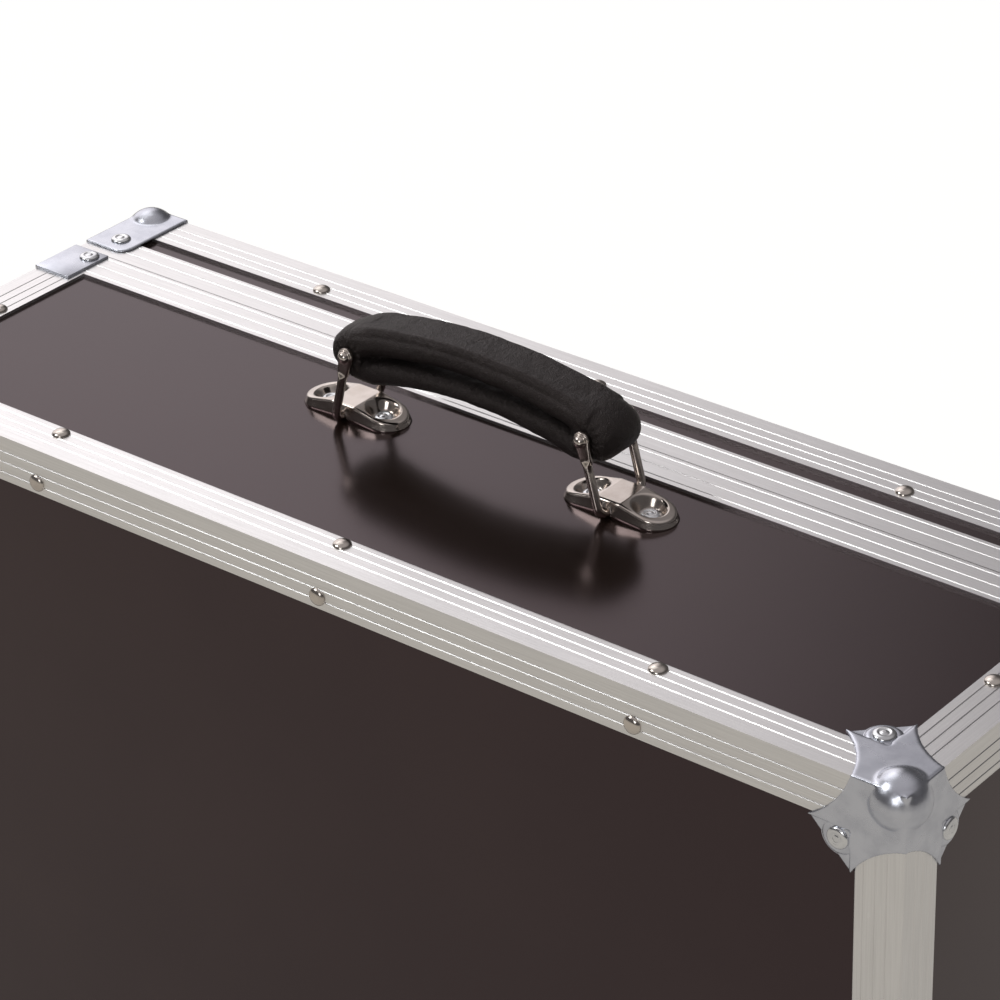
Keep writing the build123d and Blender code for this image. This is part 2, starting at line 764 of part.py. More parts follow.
def drum():
    """The drum: a spindle on the dish floor, a round top and two ears with the wing's pin."""
    top = -drum_top_depth
    ear_place = wing_root / 2 + running_gap + ear_wall / 2
    with BuildPart() as post:
        with BuildSketch(Plane.XY.offset(floor_z)):
            Circle(spindle_radius)
        extrude(amount=top - floor_z)
        with BuildSketch(Plane.XY.offset(top)):
            Circle(drum_radius)
        extrude(amount=-drum_wall)
        with Locations((0, ear_place, top + (ear_rise - top) / 2), (0, -ear_place, top + (ear_rise - top) / 2)):
            Box(2 * (wing_barrel + 0.4), ear_wall, ear_rise - top)
        with BuildSketch(Plane(origin=(0, 0, wing_axis_rise), z_dir=(0, 1, 0))):
            Circle(wing_pin_radius)
        extrude(amount=ear_place, both=True)
    return Pos(drum_place, 0, 0) * post.part


def wing():
    """The folding wing, lying flat towards the lid, with its barrel on the drum's pin."""
    low = wing_axis_rise - wing_wall / 2
    with BuildPart() as leaf:
        with BuildSketch(Plane.XY.offset(low)):
            with Locations((-(wing_reach - wing_lobe), wing_half - wing_lobe), (-(wing_reach - wing_lobe), wing_lobe - wing_half)):
                Circle(wing_lobe)
            with Locations((-(wing_reach - wing_lobe) - 0.5, 0)):
                Rectangle(wing_lobe, 2 * (wing_half - wing_lobe))
            with Locations((-wing_barrel - 1, 0)):
                Rectangle(2 * wing_barrel + 2, wing_root)
            with Locations((0, 0)):
                Rectangle(2 * (wing_barrel + 1.2), 4 * wing_half, mode=Mode.SUBTRACT)
        extrude(amount=wing_wall)
        with BuildSketch(Plane.XY.offset(low)):
            with Locations((-wing_barrel, 0)):
                Rectangle(2 * wing_barrel, wing_root)
        extrude(amount=wing_wall)
        with BuildSketch(Plane(origin=(0, 0, wing_axis_rise), z_dir=(0, 1, 0))):
            Circle(wing_barrel)
        extrude(amount=wing_root / 2, both=True)
        with BuildSketch(Plane(origin=(0, 0, wing_axis_rise), z_dir=(0, 1, 0))):
            Circle(wing_pin_radius + running_gap)
        extrude(amount=wing_root, both=True, mode=Mode.SUBTRACT)
    return Pos(drum_place, 0, 0) * leaf.part


base_dish = dish(dish_base_long, pan_base_long, 1)
lid_dish = dish(dish_lid_long, pan_lid_long, -1)
draw_hook = hook()
turn_drum = drum()
fold_wing = wing()
rivet_b = (dish_half + pan_half + dish_wall) / 2
dish_top = dish_z + dish_wall
base_dish_rivets = [(place, side * rivet_b, dish_top) for place in dish_rivet_places for side in (-1, 1)]
lid_dish_rivets = [(-keeper_rivet_place, side * rivet_b, dish_top) for side in (-1, 1)]
base_small = []
lid_small = []
for level, height in zip(("low", "high"), latch_stations()):
    place = Plane(origin=(half_width, y_part, height), x_dir=(0, -1, 0), z_dir=(1, 0, 0))
    for piece, label in (
        (base_dish, "latch_dish"), (lid_dish, "keeper_dish"), (draw_hook, "latch_hook"),
        (turn_drum, "latch_drum"), (fold_wing, "latch_wing"),
    ):
        keep(place.location * piece, f"{label}_{level}")
    base_small += [facing(place.from_local_coords(spot), (1, 0, 0)) for spot in base_dish_rivets]
    lid_small += [facing(place.from_local_coords(spot), (1, 0, 0)) for spot in lid_dish_rivets]

# Hinges: two leaves and a headed pin each
knuckle = hinge_long / 3


def leaf(sign):
    """One hinge leaf on Z = 0: the base's with the outer knuckles, the lid's with the middle one."""
    spans = [(-knuckle, knuckle), (knuckle, knuckle)] if sign > 0 else [(0, knuckle)]
    relief = knuckle_radius + 2 * knuckle_gap
    with BuildPart() as plate:
        with BuildSketch():
            with Locations((sign * (relief + leaf_wide) / 2, 0)):
                Rectangle(leaf_wide - relief, hinge_long)
            for centre, span in spans:
                with Locations((sign * relief / 2, centre)):
                    Rectangle(relief, span - knuckle_gap)
        extrude(amount=leaf_wall)
        for centre, span in spans:
            with BuildSketch(Plane(origin=(0, centre, knuckle_offset), z_dir=(0, 1, 0))):
                Circle(knuckle_radius)
            extrude(amount=(span - knuckle_gap) / 2, both=True)
        with BuildSketch(Plane(origin=(0, 0, knuckle_offset), z_dir=(0, 1, 0))):
            Circle(hinge_pin_radius + hinge_pin_gap)
        extrude(amount=hinge_long, both=True, mode=Mode.SUBTRACT)
    return plate.part


with BuildPart() as one_pin:
    with BuildSketch(Plane(origin=(0, 0, knuckle_offset), z_dir=(0, 1, 0))):
        Circle(hinge_pin_radius)
    extrude(amount=hinge_long / 2, both=True)
    for end in (-1, 1):
        with BuildSketch(Plane(origin=(0, end * hinge_long / 2, knuckle_offset), z_dir=(0, end, 0))):
            Circle(hinge_pin_radius + 0.6)
        extrude(amount=0.8)

hinge_places = [
    Plane(origin=(-half_width, y_part, height), x_dir=(0, -1, 0), z_dir=(-1, 0, 0)) for height in hinge_stations()
]
for label, piece in (("hinge_base_leaves", leaf(1)), ("hinge_lid_leaves", leaf(-1)), ("hinge_pins", one_pin.part)):
    with BuildPart() as pair:
        with Locations(*hinge_places):
            add(piece)
    keep(pair.part, label)
leaf_line = (leaf_wide + knuckle_radius) / 2 + 1
for place in hinge_places:
    for along in (-knuckle, 0, knuckle):
        base_small.append(facing(place.from_local_coords((leaf_line, along, leaf_wall)), (-1, 0, 0)))
        lid_small.append(facing(place.from_local_coords((-leaf_line, along, leaf_wall)), (-1, 0, 0)))

for side, big, small in (("base", base_blind, base_small), ("lid", lid_blind, lid_small)):
    with BuildPart() as blind:
        add(big.part)
        with Locations(*small):
            add(small_head)
    keep(blind.part, f"{side}_blind_rivets")

# Rubber feet under the case
with BuildPart() as foot:
    with BuildSketch():
        Circle(foot_radius)
    extrude(amount=z_low + panel_skin)
    chamfer(foot.edges().group_by(Axis.Z)[0], foot_bevel)
foot_y = (y_base + foot_from_face, base_edge - foot_from_edge)
with BuildPart() as feet:
    with Locations(*[(sign * (half_width - foot_inset), y, 0) for sign in (-1, 1) for y in foot_y]):
        add(foot.part)
keep(feet.part, "rubber_feet")

# Foam lining, cut for the instrument, for its leads and for the latch dishes
lining_x = half_width - panel_inner - lining_gap
lining_z = case_height / 2 - panel_inner - lining_gap
inner_end = profile_inner_leg + lining_edge_gap
dish_notch = panel_skin + pan_deep + dish_wall + lining_edge_gap


def lining(y_outer, y_inner, notch_long):
    """A foam block between two depths, cut back round the latch dishes."""
    with BuildPart() as block:
        with Locations((0, (y_outer + y_inner) / 2, z_mid)):
            Box(2 * lining_x, abs(y_inner - y_outer), 2 * lining_z)
        for height in latch_stations():
            with Locations((half_width - dish_notch / 2, y_part, height)):
                Box(dish_notch, 2 * notch_long, 2 * (pan_half + dish_wall + lining_edge_gap), mode=Mode.SUBTRACT)
    return block.part


base_lining_top = base_edge - inner_end
with BuildPart() as base_lining:
    add(lining(y_base + panel_inner + lining_gap, base_lining_top, pan_base_long + dish_wall + lining_edge_gap))
    for centre, (long, tall, deep) in ((device_pocket_x, device_pocket), (lead_pocket_x, lead_pocket)):
        with BuildSketch(Plane(origin=(centre, base_lining_top, z_mid), x_dir=(1, 0, 0), z_dir=(0, -1, 0))):
            RectangleRounded(long, tall, pocket_round)
        extrude(amount=deep, mode=Mode.SUBTRACT)
keep(base_lining.part, "base_lining")
lid_lining = lining(y_lid - panel_inner - lining_gap, lid_edge + inner_end, pan_lid_long + dish_wall + lining_edge_gap)
keep(lid_lining, "lid_lining")

print(f"{len(built)} pieces")
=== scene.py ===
"""Looks of a plywood carrying case with ribbed aluminium edging, ball corners and a leather grip.

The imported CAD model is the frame.  X runs along the handle, -Y is the base's outer face, Z is up.
Sizes in the classes are in millimetres and are turned into metres where a mesh is made.
"""
from __future__ import annotations

import json
import logging
import math
from dataclasses import dataclass
from enum import Enum
from typing import Any, Callable, Iterable, Sequence

import bmesh
import bpy
from mathutils import Matrix, Vector, noise

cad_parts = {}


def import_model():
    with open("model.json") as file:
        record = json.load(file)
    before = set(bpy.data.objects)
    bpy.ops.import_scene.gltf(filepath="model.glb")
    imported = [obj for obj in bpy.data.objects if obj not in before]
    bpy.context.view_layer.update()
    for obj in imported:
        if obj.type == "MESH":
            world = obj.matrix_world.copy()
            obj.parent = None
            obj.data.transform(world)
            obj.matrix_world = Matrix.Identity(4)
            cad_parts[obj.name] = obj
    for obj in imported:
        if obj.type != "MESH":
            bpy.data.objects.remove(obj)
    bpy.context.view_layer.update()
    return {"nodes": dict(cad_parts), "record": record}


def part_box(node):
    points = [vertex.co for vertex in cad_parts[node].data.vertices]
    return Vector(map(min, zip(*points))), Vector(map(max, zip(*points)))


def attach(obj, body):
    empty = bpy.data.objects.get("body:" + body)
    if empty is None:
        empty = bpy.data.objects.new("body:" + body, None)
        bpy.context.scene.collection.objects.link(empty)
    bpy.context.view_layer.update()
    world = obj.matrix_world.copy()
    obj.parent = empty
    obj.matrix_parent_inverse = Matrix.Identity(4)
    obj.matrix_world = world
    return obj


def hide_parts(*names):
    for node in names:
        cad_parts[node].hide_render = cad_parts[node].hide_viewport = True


LOG = logging.getLogger("carrying_case")
MM = 0.001
HANDLE_Y = 7.9          # the handle's middle line across the case
PANEL_TOP = 366.5       # the top board's outer face
PIN_X, PIN_RISE = 62.8, 35.1        # each pin from the handle's middle, and over the board
FOOT_X, FOOT_RISE = 71.1, 2.3       # each bow's foot, likewise
BOSS_FLAT = 0.74        # the flat middle of a pressed boss, as a share of its radius
RING_SHARPNESS = 9.0    # one over the half width of a blind rivet's ring, in radii
HEAD_STEPS = 14         # steps from a head's rim to its middle
TURN_SEED = 11          # the seed of the heads' turns and tilts
WELD = 0.000002         # how near a CAD mesh's doubled points lie, in metres
FLAT_TURN = math.radians(0.3)       # how far neighbouring triangles of one flat face may turn
Colour = tuple[float, float, float]
Point = tuple[float, float, float]


class Run(Enum):
    """The way in which an extruded piece runs, as the stretch of its draw lines on each axis."""

    X = (1.0, 60.0, 60.0)
    Y = (60.0, 1.0, 60.0)
    Z = (60.0, 60.0, 1.0)

    @classmethod
    def of(cls, node: str) -> "Run":
        """The run of an aluminium node, by its name."""
        if "corner" in node:
            return cls.Y
        return cls.X if "top" in node or "foot" in node else cls.Z


class Signal:
    """A value in a node tree.  Python operators on it add its Math nodes."""

    def __init__(self, tree: "Tree", socket: bpy.types.NodeSocket) -> None:
        """Keep the tree and the output socket that carries the value."""
        self.tree = tree
        self.socket = socket

    def of(self, out: int | str) -> "Signal":
        """Another output of the same node."""
        return Signal(self.tree, self.socket.node.outputs[out])

    def math(self, operation: str, *others: Any) -> "Signal":
        """Add one Math node with this value first.

        Args:
            operation: The Math node's operation.
            *others: Its further values, Signals or numbers.

        Returns:
            The node's output.
        """
        sockets = dict(enumerate((self, *others)))
        return self.tree.node("ShaderNodeMath", {"operation": operation}, sockets)

    def __add__(self, other: Any) -> "Signal":
        """Sum."""
        return self.math("ADD", other)

    __radd__ = __add__

    def __sub__(self, other: Any) -> "Signal":
        """Difference."""
        return self.math("SUBTRACT", other)

    def __rsub__(self, other: Any) -> "Signal":
        """Difference, with the number first."""
        return self.math("MULTIPLY", -1.0) + other

    def __mul__(self, other: Any) -> "Signal":
        """Product."""
        return self.math("MULTIPLY", other)

    __rmul__ = __mul__

    def __truediv__(self, other: Any) -> "Signal":
        """Quotient."""
        return self.math("DIVIDE", other)

    def __pow__(self, other: Any) -> "Signal":
        """Power."""
        return self.math("POWER", other)

    def above(self, low: float, high: float) -> "Signal":
        """Rise smoothly from 0 at low to 1 at high.

        Args:
            low: The value below which the result is 0.
            high: The value above which the result is 1.

        Returns:
            The smooth step.
        """
        settings = {"interpolation_type": "SMOOTHSTEP"}
        return self.tree.node("ShaderNodeMapRange", settings, {"Value": self, "From Min": low, "From Max": high})


class Tree:
    """A node tree that is built through a single node method."""

    def __init__(self, tree: bpy.types.NodeTree) -> None:
        """Take over a tree and empty it."""
        self.tree = tree
        self.tree.nodes.clear()

    def node(self, kind: str, settings: dict[str, Any] | None = None, sockets: dict[Any, Any] | None = None,
             out: int | str = 0) -> Signal:
        """Add a node.

        Args:
            kind: The node's type name.
            settings: Its properties, which are set first.
            sockets: Values or Signals by input name or number.
            out: The output to hand back.

        Returns:
            That output as a Signal.
        """
        made = self.tree.nodes.new(kind)
        for key, value in (settings or {}).items():
            setattr(made, key, value)
        for key, value in (sockets or {}).items():
            if isinstance(value, Signal):
                self.tree.links.new(value.socket, made.inputs[key])
            elif isinstance(value, tuple) and made.inputs[key].type == "RGBA":
                made.inputs[key].default_value = (*value, 1.0)
            else:
                made.inputs[key].default_value = value
        return Signal(self, made.outputs[out])

    def end(self, kind: str, result: Signal) -> None:
        """Send a result into an output node."""
        self.tree.links.new(result.socket, self.tree.nodes.new(kind).inputs[0])


class ShaderTree(Tree):
    """One material's node tree."""

    def __init__(self, name: str) -> None:
        """Make an empty node material with this name."""
        self.material = bpy.data.materials.new(name)
        self.material.use_nodes = True
        super().__init__(self.material.node_tree)

    def place(self, scale: Sequence[float] = (1.0, 1.0, 1.0)) -> Signal:
        """Object coordinates, stretched by a scale for each axis."""
        coords = self.node("ShaderNodeTexCoord", out="Object")
        return self.node("ShaderNodeMapping", {}, {"Vector": coords, "Scale": tuple(scale)})

    def grain(self, scale: float, detail: float = 4.0, stretch: Sequence[float] = (1.0, 1.0, 1.0),
              rough: float = 0.5) -> Signal:
        """Fractal noise from about 0 to 1 on Object coordinates.

        Args:
            scale: Features a metre.
            detail: Octaves of finer noise.
            stretch: Scale for each axis.
            rough: How strong the finer octaves are.

        Returns:
            The noise value.
        """
        return self.node("ShaderNodeTexNoise", {}, {
            "Vector": self.place(stretch), "Scale": scale, "Detail": detail, "Roughness": rough})

    def cells(self, scale: float, feature: str, stretch: Sequence[float] = (1.0, 1.0, 1.0)) -> Signal:
        """Voronoi cells on Object coordinates.

        Args:
            scale: Cells a metre.
            feature: What is measured, F1 or DISTANCE_TO_EDGE.
            stretch: Scale for each axis.

        Returns:
            The distance.
        """
        sockets = {"Vector": self.place(stretch), "Scale": scale}
        return self.node("ShaderNodeTexVoronoi", {"feature": feature}, sockets)

    def blend(self, factor: Any, first: Any, second: Any) -> Signal:
        """Mix two colours by a factor."""
        return self.node("ShaderNodeMix", {"data_type": "RGBA"}, {0: factor, 6: first, 7: second}, 2)

    def bump(self, height: Signal, distance: float, strength: float = 1.0, normal: Signal | None = None) -> Signal:
        """Turn a height into a normal.

        Args:
            height: The height, from 0 to 1.
            distance: The height of 1 in metres.
            strength: How far the normal turns.
            normal: A normal from an earlier bump.

        Returns:
            The new normal.
        """
        sockets: dict[Any, Any] = {"Height": height, "Distance": distance, "Strength": strength}
        if normal is not None:
            sockets["Normal"] = normal
        return self.node("ShaderNodeBump", {}, sockets)

    def finish(self, **sockets: Any) -> bpy.types.Material:
        """Close the tree with a Principled shader.

        Args:
            **sockets: Its inputs, with underscores for spaces.

        Returns:
            The material.
        """
        named = {key.replace("_", " "): value for key, value in sockets.items()}
        self.end("ShaderNodeOutputMaterial", self.node("ShaderNodeBsdfPrincipled", {}, named))
        return self.material


class GeometryTree(Tree):
    """A Geometry Nodes tree with named inputs."""

    def __init__(self, name: str, inputs: dict[str, tuple[str, Any]]) -> None:
        """Make the tree.

        Args:
            name: Its name.
            inputs: The socket type and the value of each input, by name.
        """
        super().__init__(bpy.data.node_groups.new(name, "GeometryNodeTree"))
        sockets = self.tree.interface
        sockets.new_socket("Geometry", in_out="INPUT", socket_type="NodeSocketGeometry")
        sockets.new_socket("Geometry", in_out="OUTPUT", socket_type="NodeSocketGeometry")
        self.values = {key: value for key, (_, value) in inputs.items()}
        self.keys = {
            key: sockets.new_socket(key, in_out="INPUT", socket_type=kind).identifier
            for key, (kind, _) in inputs.items()
        }
        self.given = self.node("NodeGroupInput", out="Geometry")

    def attribute(self, name: str, kind: str) -> Signal:
        """A named attribute of the points."""
        return self.node("GeometryNodeInputNamedAttribute", {"data_type": kind}, {"Name": name}, "Attribute")

    def close(self, geometry: Signal) -> None:
        """Realise the geometry, smooth it, dress it and send it out."""
        real = self.node("GeometryNodeRealizeInstances", {}, {"Geometry": geometry})
        smooth = self.node("GeometryNodeSetShadeSmooth", {}, {"Geometry": real})
        dressed = self.node("GeometryNodeSetMaterial", {}, {"Geometry": smooth, "Material": self.given.of("Finish")})
        self.end("NodeGroupOutput", dressed)

    def grow(self, name: str, points: bpy.types.Mesh, finish: bpy.types.Material) -> bpy.types.Object:
        """Run the tree on a mesh of points.

        Args:
            name: The new piece's name.
            points: The points, with their attributes.
            finish: The material of what grows on them.

        Returns:
            The piece, with a plain mesh.
        """
        piece = linked(bpy.data.objects.new(name, points))
        modifier = piece.modifiers.new("grow", "NODES")
        modifier.node_group = self.tree
        for key, value in (self.values | {"Finish": finish}).items():
            modifier[self.keys[key]] = value
        return plain(piece)


@dataclass(frozen=True)
class Laminate:
    """Dark brown phenolic laminate with a satin skin."""

    dark: Colour = (0.0080, 0.0050, 0.0036)
    light: Colour = (0.0115, 0.0074, 0.0056)
    sheen: Colour = (1.0, 0.68, 0.78)
    roughness: float = 0.16

    def make(self) -> bpy.types.Material:
        """Build the material: cloudy colour, a fine orange-peel bump and faint scuffs."""
        tree = ShaderTree("brown_laminate")
        cloud = tree.grain(9.0, 5.0)
        peel = tree.grain(900.0, 2.0)
        scuff = tree.grain(38.0, 8.0, (1.0, 1.0, 1.0), 0.62).above(0.62, 0.8)
        speck = tree.grain(2600.0, 1.0).above(0.56, 0.7)
        colour = tree.blend(cloud.above(0.35, 0.68), self.dark, self.light)
        colour = tree.blend(speck * 0.2, colour, tuple(2.0 * c for c in self.light))
        rough = self.roughness + 0.04 * cloud + 0.07 * scuff
        normal = tree.bump(peel, 0.00002, 0.4)
        return tree.finish(Base_Color=colour, Roughness=rough, Normal=normal, Specular_IOR_Level=0.55,
                           Specular_Tint=self.sheen)


@dataclass(frozen=True)
class Aluminium:
    """Drawn and clear-anodised aluminium with fine lines along its run."""

    run: Run
    bright: Colour = (0.82, 0.815, 0.81)
    dull: Colour = (0.66, 0.655, 0.65)
    roughness: float = 0.30

    def make(self) -> bpy.types.Material:
        """Build the material: draw lines, soft blotches and a few scratches."""
        tree = ShaderTree(f"drawn_aluminium_{self.run.name.lower()}")
        draw = tree.grain(26.0, 6.0, self.run.value, 0.7)
        fine = tree.grain(90.0, 3.0, self.run.value, 0.6)
        blotch = tree.grain(30.0, 5.0)
        scratch = tree.grain(14.0, 9.0, (7.0, 1.0, 4.0), 0.75).above(0.66, 0.7)
        colour = tree.blend(0.55 * draw.above(0.3, 0.75) + 0.2 * blotch, self.bright, self.dull)
        colour = tree.blend(scratch * 0.3, colour, (0.95, 0.95, 0.95))
        rough = self.roughness - 0.05 + 0.12 * draw + 0.06 * blotch
        normal = tree.bump(draw, 0.00006, 0.35)
        normal = tree.bump(fine, 0.00002, 0.4, normal)
        return tree.finish(Base_Color=colour, Metallic=1.0, Roughness=rough, Normal=normal)


@dataclass(frozen=True)
class PlatedSteel:
    """Pressed steel under a plated skin."""

    name: str
    clear: Colour
    cloudy: Colour
    roughness: float
    pitting: float = 0.25

    def make(self) -> bpy.types.Material:
        """Build the material: clouded plating, tiny pits and duller patches."""
        tree = ShaderTree(self.name)
        cloud = tree.grain(120.0, 5.0)
        pits = tree.grain(1800.0, 3.0)
        patch = tree.grain(35.0, 6.0)
        colour = tree.blend(cloud.above(0.35, 0.7), self.clear, self.cloudy)
        rough = self.roughness + 0.1 * patch.above(0.4, 0.75) + 0.03 * pits
        normal = tree.bump(pits, 0.00002, self.pitting)
        normal = tree.bump(cloud, 0.00012, 0.2, normal)
        return tree.finish(Base_Color=colour, Metallic=1.0, Roughness=rough, Normal=normal)


@dataclass(frozen=True)
class Leather:
    """Black-brown wrapped leather with a fine pebble grain."""

    deep: Colour = (0.0058, 0.0048, 0.0045)
    # Colour of the patches of wear, also used as the painted highlight on the pebbles' tops.
    worn: Colour = (0.0110, 0.0092, 0.0086)
    sheen: Colour = (1.0, 0.86, 0.84)
    pebbles: float = 1150.0

    def make(self) -> bpy.types.Material:
        """Build the material: pebbles, drawn hair creases, patches of wear, and a painted sheen that lightens the
        pebbles' high parts and shades the creases between them.
        """
        tree = ShaderTree("grained_leather")
        pebble = tree.cells(self.pebbles, "DISTANCE_TO_EDGE", (1.0, 1.0, 1.25)).above(0.0, 0.22)
        crease = tree.grain(470.0, 6.0, (1.3, 0.7, 0.75), 0.66)
        fold = tree.grain(95.0, 4.0, (1.6, 0.6, 0.9), 0.55)
        patch = tree.grain(45.0, 4.0)
        # Patches of wear, plus a painted highlight on the pebbles' tops and painted shade in the creases between
        # them.
        colour = tree.blend(patch.above(0.3, 0.75) * 0.6 + pebble * 0.25, self.deep, self.worn)
        rough = 0.40 - 0.08 * pebble + 0.12 * patch
        normal = tree.bump(fold, 0.0009, 0.35)
        normal = tree.bump(crease, 0.0010, 0.9, normal)
        normal = tree.bump(pebble, 0.00014, 0.8, normal)
        return tree.finish(Base_Color=colour, Roughness=rough, Normal=normal, Specular_IOR_Level=0.42,
                           Specular_Tint=self.sheen)


@dataclass(frozen=True)
class Rubber:
    """Black moulded rubber."""

    colour: Colour = (0.014, 0.014, 0.0145)

    def make(self) -> bpy.types.Material:
        """Build the material: matt, with a mould's fine texture."""
        tree = ShaderTree("black_rubber")
        fine = tree.grain(1500.0, 3.0)
        dust = tree.grain(60.0, 6.0).above(0.5, 0.8)
        colour = tree.blend(dust * 0.4, self.colour, tuple(3.0 * c for c in self.colour))
        return tree.finish(Base_Color=colour, Roughness=0.72 + 0.12 * dust, Normal=tree.bump(fine, 0.00005, 0.5))


@dataclass(frozen=True)
class Foam:
    """Charcoal open-cell foam."""

    colour: Colour = (0.025, 0.0255, 0.028)

    def make(self) -> bpy.types.Material:
        """Build the material: open cells whose sunk hollows are darkened as painted shade."""
        tree = ShaderTree("charcoal_foam")
        pore_depth_and_shade = tree.cells(520.0, "F1").above(0.2, 0.75)
        soft = tree.grain(14.0, 4.0)
        # Darker where the bump sinks into the cells' hollows: painted shade.
        colour = tree.blend(pore_depth_and_shade, tuple(1.5 * c for c in self.colour), tuple(0.5 * c for c in self.colour))
        colour = tree.blend(soft.above(0.4, 0.8) * 0.3, colour, tuple(2.0 * c for c in self.colour))
        return tree.finish(Base_Color=colour, Roughness=0.92, Normal=tree.bump(1.0 - pore_depth_and_shade, 0.0005, 0.7))


def linked(piece: bpy.types.Object) -> bpy.types.Object:
    """Put an object into the scene and hand it back."""
    bpy.context.scene.collection.objects.link(piece)
    return piece


def plain(piece: bpy.types.Object) -> bpy.types.Object:
    """Turn what a piece's modifiers make into its own plain mesh.

    Args:
        piece: The piece, which loses its modifiers.

    Returns:
        The same piece.
    """
    graph = bpy.context.evaluated_depsgraph_get()
    mesh = bpy.data.meshes.new_from_object(piece.evaluated_get(graph), preserve_all_data_layers=True, depsgraph=graph)
    piece.modifiers.clear()
    piece.data = mesh
    return piece


def shell(name: str, points: Sequence[Sequence[float]], faces: Sequence[Sequence[int]], closed: bool = True
          ) -> bpy.types.Object:
    """Make a smooth piece from points in millimetres.

    Args:
        name: The piece's name.
        points: Its vertices.
        faces: Its faces as vertex numbers.
        closed: Whether it is a closed body, whose faces are turned outwards.

    Returns:
        The piece.
    """
    mesh = bpy.data.meshes.new(name)
    mesh.from_pydata([Vector(point) * MM for point in points], [], faces)
    shape = bmesh.new()
    shape.from_mesh(mesh)
    if closed:
        bmesh.ops.recalc_face_normals(shape, faces=shape.faces)
    shape.to_mesh(mesh)
    shape.free()
    mesh.shade_smooth()
    return linked(bpy.data.objects.new(name, mesh))


def tube(name: str, rings: Sequence[Sequence[Vector]]) -> bpy.types.Object:
    """Skin a row of rings that have the same count of points, and close both ends.

    Args:
        name: The piece's name.
        rings: The rings in order, in millimetres.

    Returns:
        The piece.
    """
    count = len(rings[0])
    points = [point for ring in rings for point in ring]
    faces = [
        (row * count + i, row * count + (i + 1) % count, (row + 1) * count + (i + 1) % count, (row + 1) * count + i)
        for row in range(len(rings) - 1) for i in range(count)
    ]
    for ring, first in ((rings[0], 0), (rings[-1], len(points) - count)):
        points.append(sum(ring, Vector()) / count)
        faces += [(first + i, first + (i + 1) % count, len(points) - 1) for i in range(count)]
    return shell(name, points, faces)


def welded(node: str, whole_faces: bool) -> bmesh.types.BMesh:
    """A welded copy of a CAD node's mesh.

    Args:
        node: The node's name.
        whole_faces: Whether flat faces are made whole again.

    Returns:
        The copy.
    """
    shape = bmesh.new()
    shape.from_mesh(bpy.data.objects[node].data)
    bmesh.ops.remove_doubles(shape, verts=shape.verts, dist=WELD)
    if whole_faces:
        bmesh.ops.dissolve_limit(shape, angle_limit=FLAT_TURN, verts=shape.verts, edges=shape.edges)
    return shape


def seat(piece: bpy.types.Object, body: str, slot: str, *nodes: str,
         finish: bpy.types.Material | None = None) -> None:
    """Fix a piece to a body in place of CAD nodes.

    Args:
        piece: The piece.
        body: The body that it rides on.
        slot: Its material slot in the record; not used.
        *nodes: The CAD nodes that it stands for.
        finish: Its material, where it has none yet.
    """
    if finish is not None:
        piece.data.materials.clear()
        piece.data.materials.append(finish)
    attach(piece, body)
    if nodes:
        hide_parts(*nodes)
    LOG.info("%s rides on %s, with %d faces", piece.name, body, len(piece.data.polygons))


def ease(value: float, low: float, high: float) -> float:
    """Rise smoothly from 0 at low to 1 at high."""
    t = min(max((value - low) / (high - low), 0.0), 1.0)
    return t * t * (3.0 - 2.0 * t)


def bell(value: float, centre: float, width: float) -> float:
    """A bump of height 1 at its centre that fades out over its width."""
    return math.exp(-((value - centre) / width) ** 2)


def oval(sides: int, power: float) -> list[tuple[float, float]]:
    """Points round a unit superellipse, a circle at power 1 and squarer below it."""
    turns = [2 * math.pi * i / sides for i in range(sides)]
    return [tuple(math.copysign(abs(part) ** power, part) for part in (math.cos(turn), math.sin(turn)))
            for turn in turns]


@dataclass(frozen=True)
class Head:
    """Where one rivet head sits, in metres."""

    place: Vector
    outward: Vector
    radius: float


def heads_of(node: str) -> list[Head]:
    """Read the heads of a rivet node from its separate solids.

    Args:
        node: The CAD node.

    Returns:
        One head for each solid, on the face that it is seated on, in the mesh's own order.
    """
    shape = welded(node, whole_faces=True)
    heads, reached = [], set()
    for start in shape.verts:
        if start in reached:
            continue
        island, edge = set(), {start}
        while edge:
            vertex = edge.pop()
            island.add(vertex)
            edge |= {e.other_vert(vertex) for e in vertex.link_edges} - island
        reached |= island
        base = max({face for vertex in island for face in vertex.link_faces}, key=lambda face: face.calc_area())
        centre = sum((vertex.co for vertex in base.verts), Vector()) / len(base.verts)
        heads.append(Head(centre, -base.normal, (base.verts[0].co - centre).length))
    shape.free()
    return heads


def points_mesh(name: str, heads: Iterable[Head]) -> bpy.types.Mesh:
    """A mesh of loose points that carry each head's direction and radius."""
    heads = list(heads)
    mesh = bpy.data.meshes.new(name)
    mesh.from_pydata([head.place for head in heads], [], [])
    mesh.attributes.new("outward", "FLOAT_VECTOR", "POINT")
    mesh.attributes.new("radius", "FLOAT", "POINT")
    for i, head in enumerate(heads):
        mesh.attributes["outward"].data[i].vector = head.outward
        mesh.attributes["radius"].data[i].value = head.radius
    return mesh


def dome_profile(tree: GeometryTree, reach: Signal) -> Signal:
    """The height of a head over its own radius: domed, with a ring sunk round a blind rivet's mandrel."""
    dome = (1.0 - reach ** tree.given.of("Fall")).math("MAXIMUM", 0.0) ** 0.5
    ring = (1.0 - (reach - tree.given.of("Ring")).math("ABSOLUTE") * RING_SHARPNESS).math("MAXIMUM", 0.0)
    return tree.given.of("Rise") * (dome - tree.given.of("Ring Depth") * ring)


def flare_profile(tree: GeometryTree, reach: Signal) -> Signal:
    """The height of a pressed boss: flat on top, flared down to its plate."""
    return tree.given.of("Rise") * (1.0 - reach.above(BOSS_FLAT, 1.0))


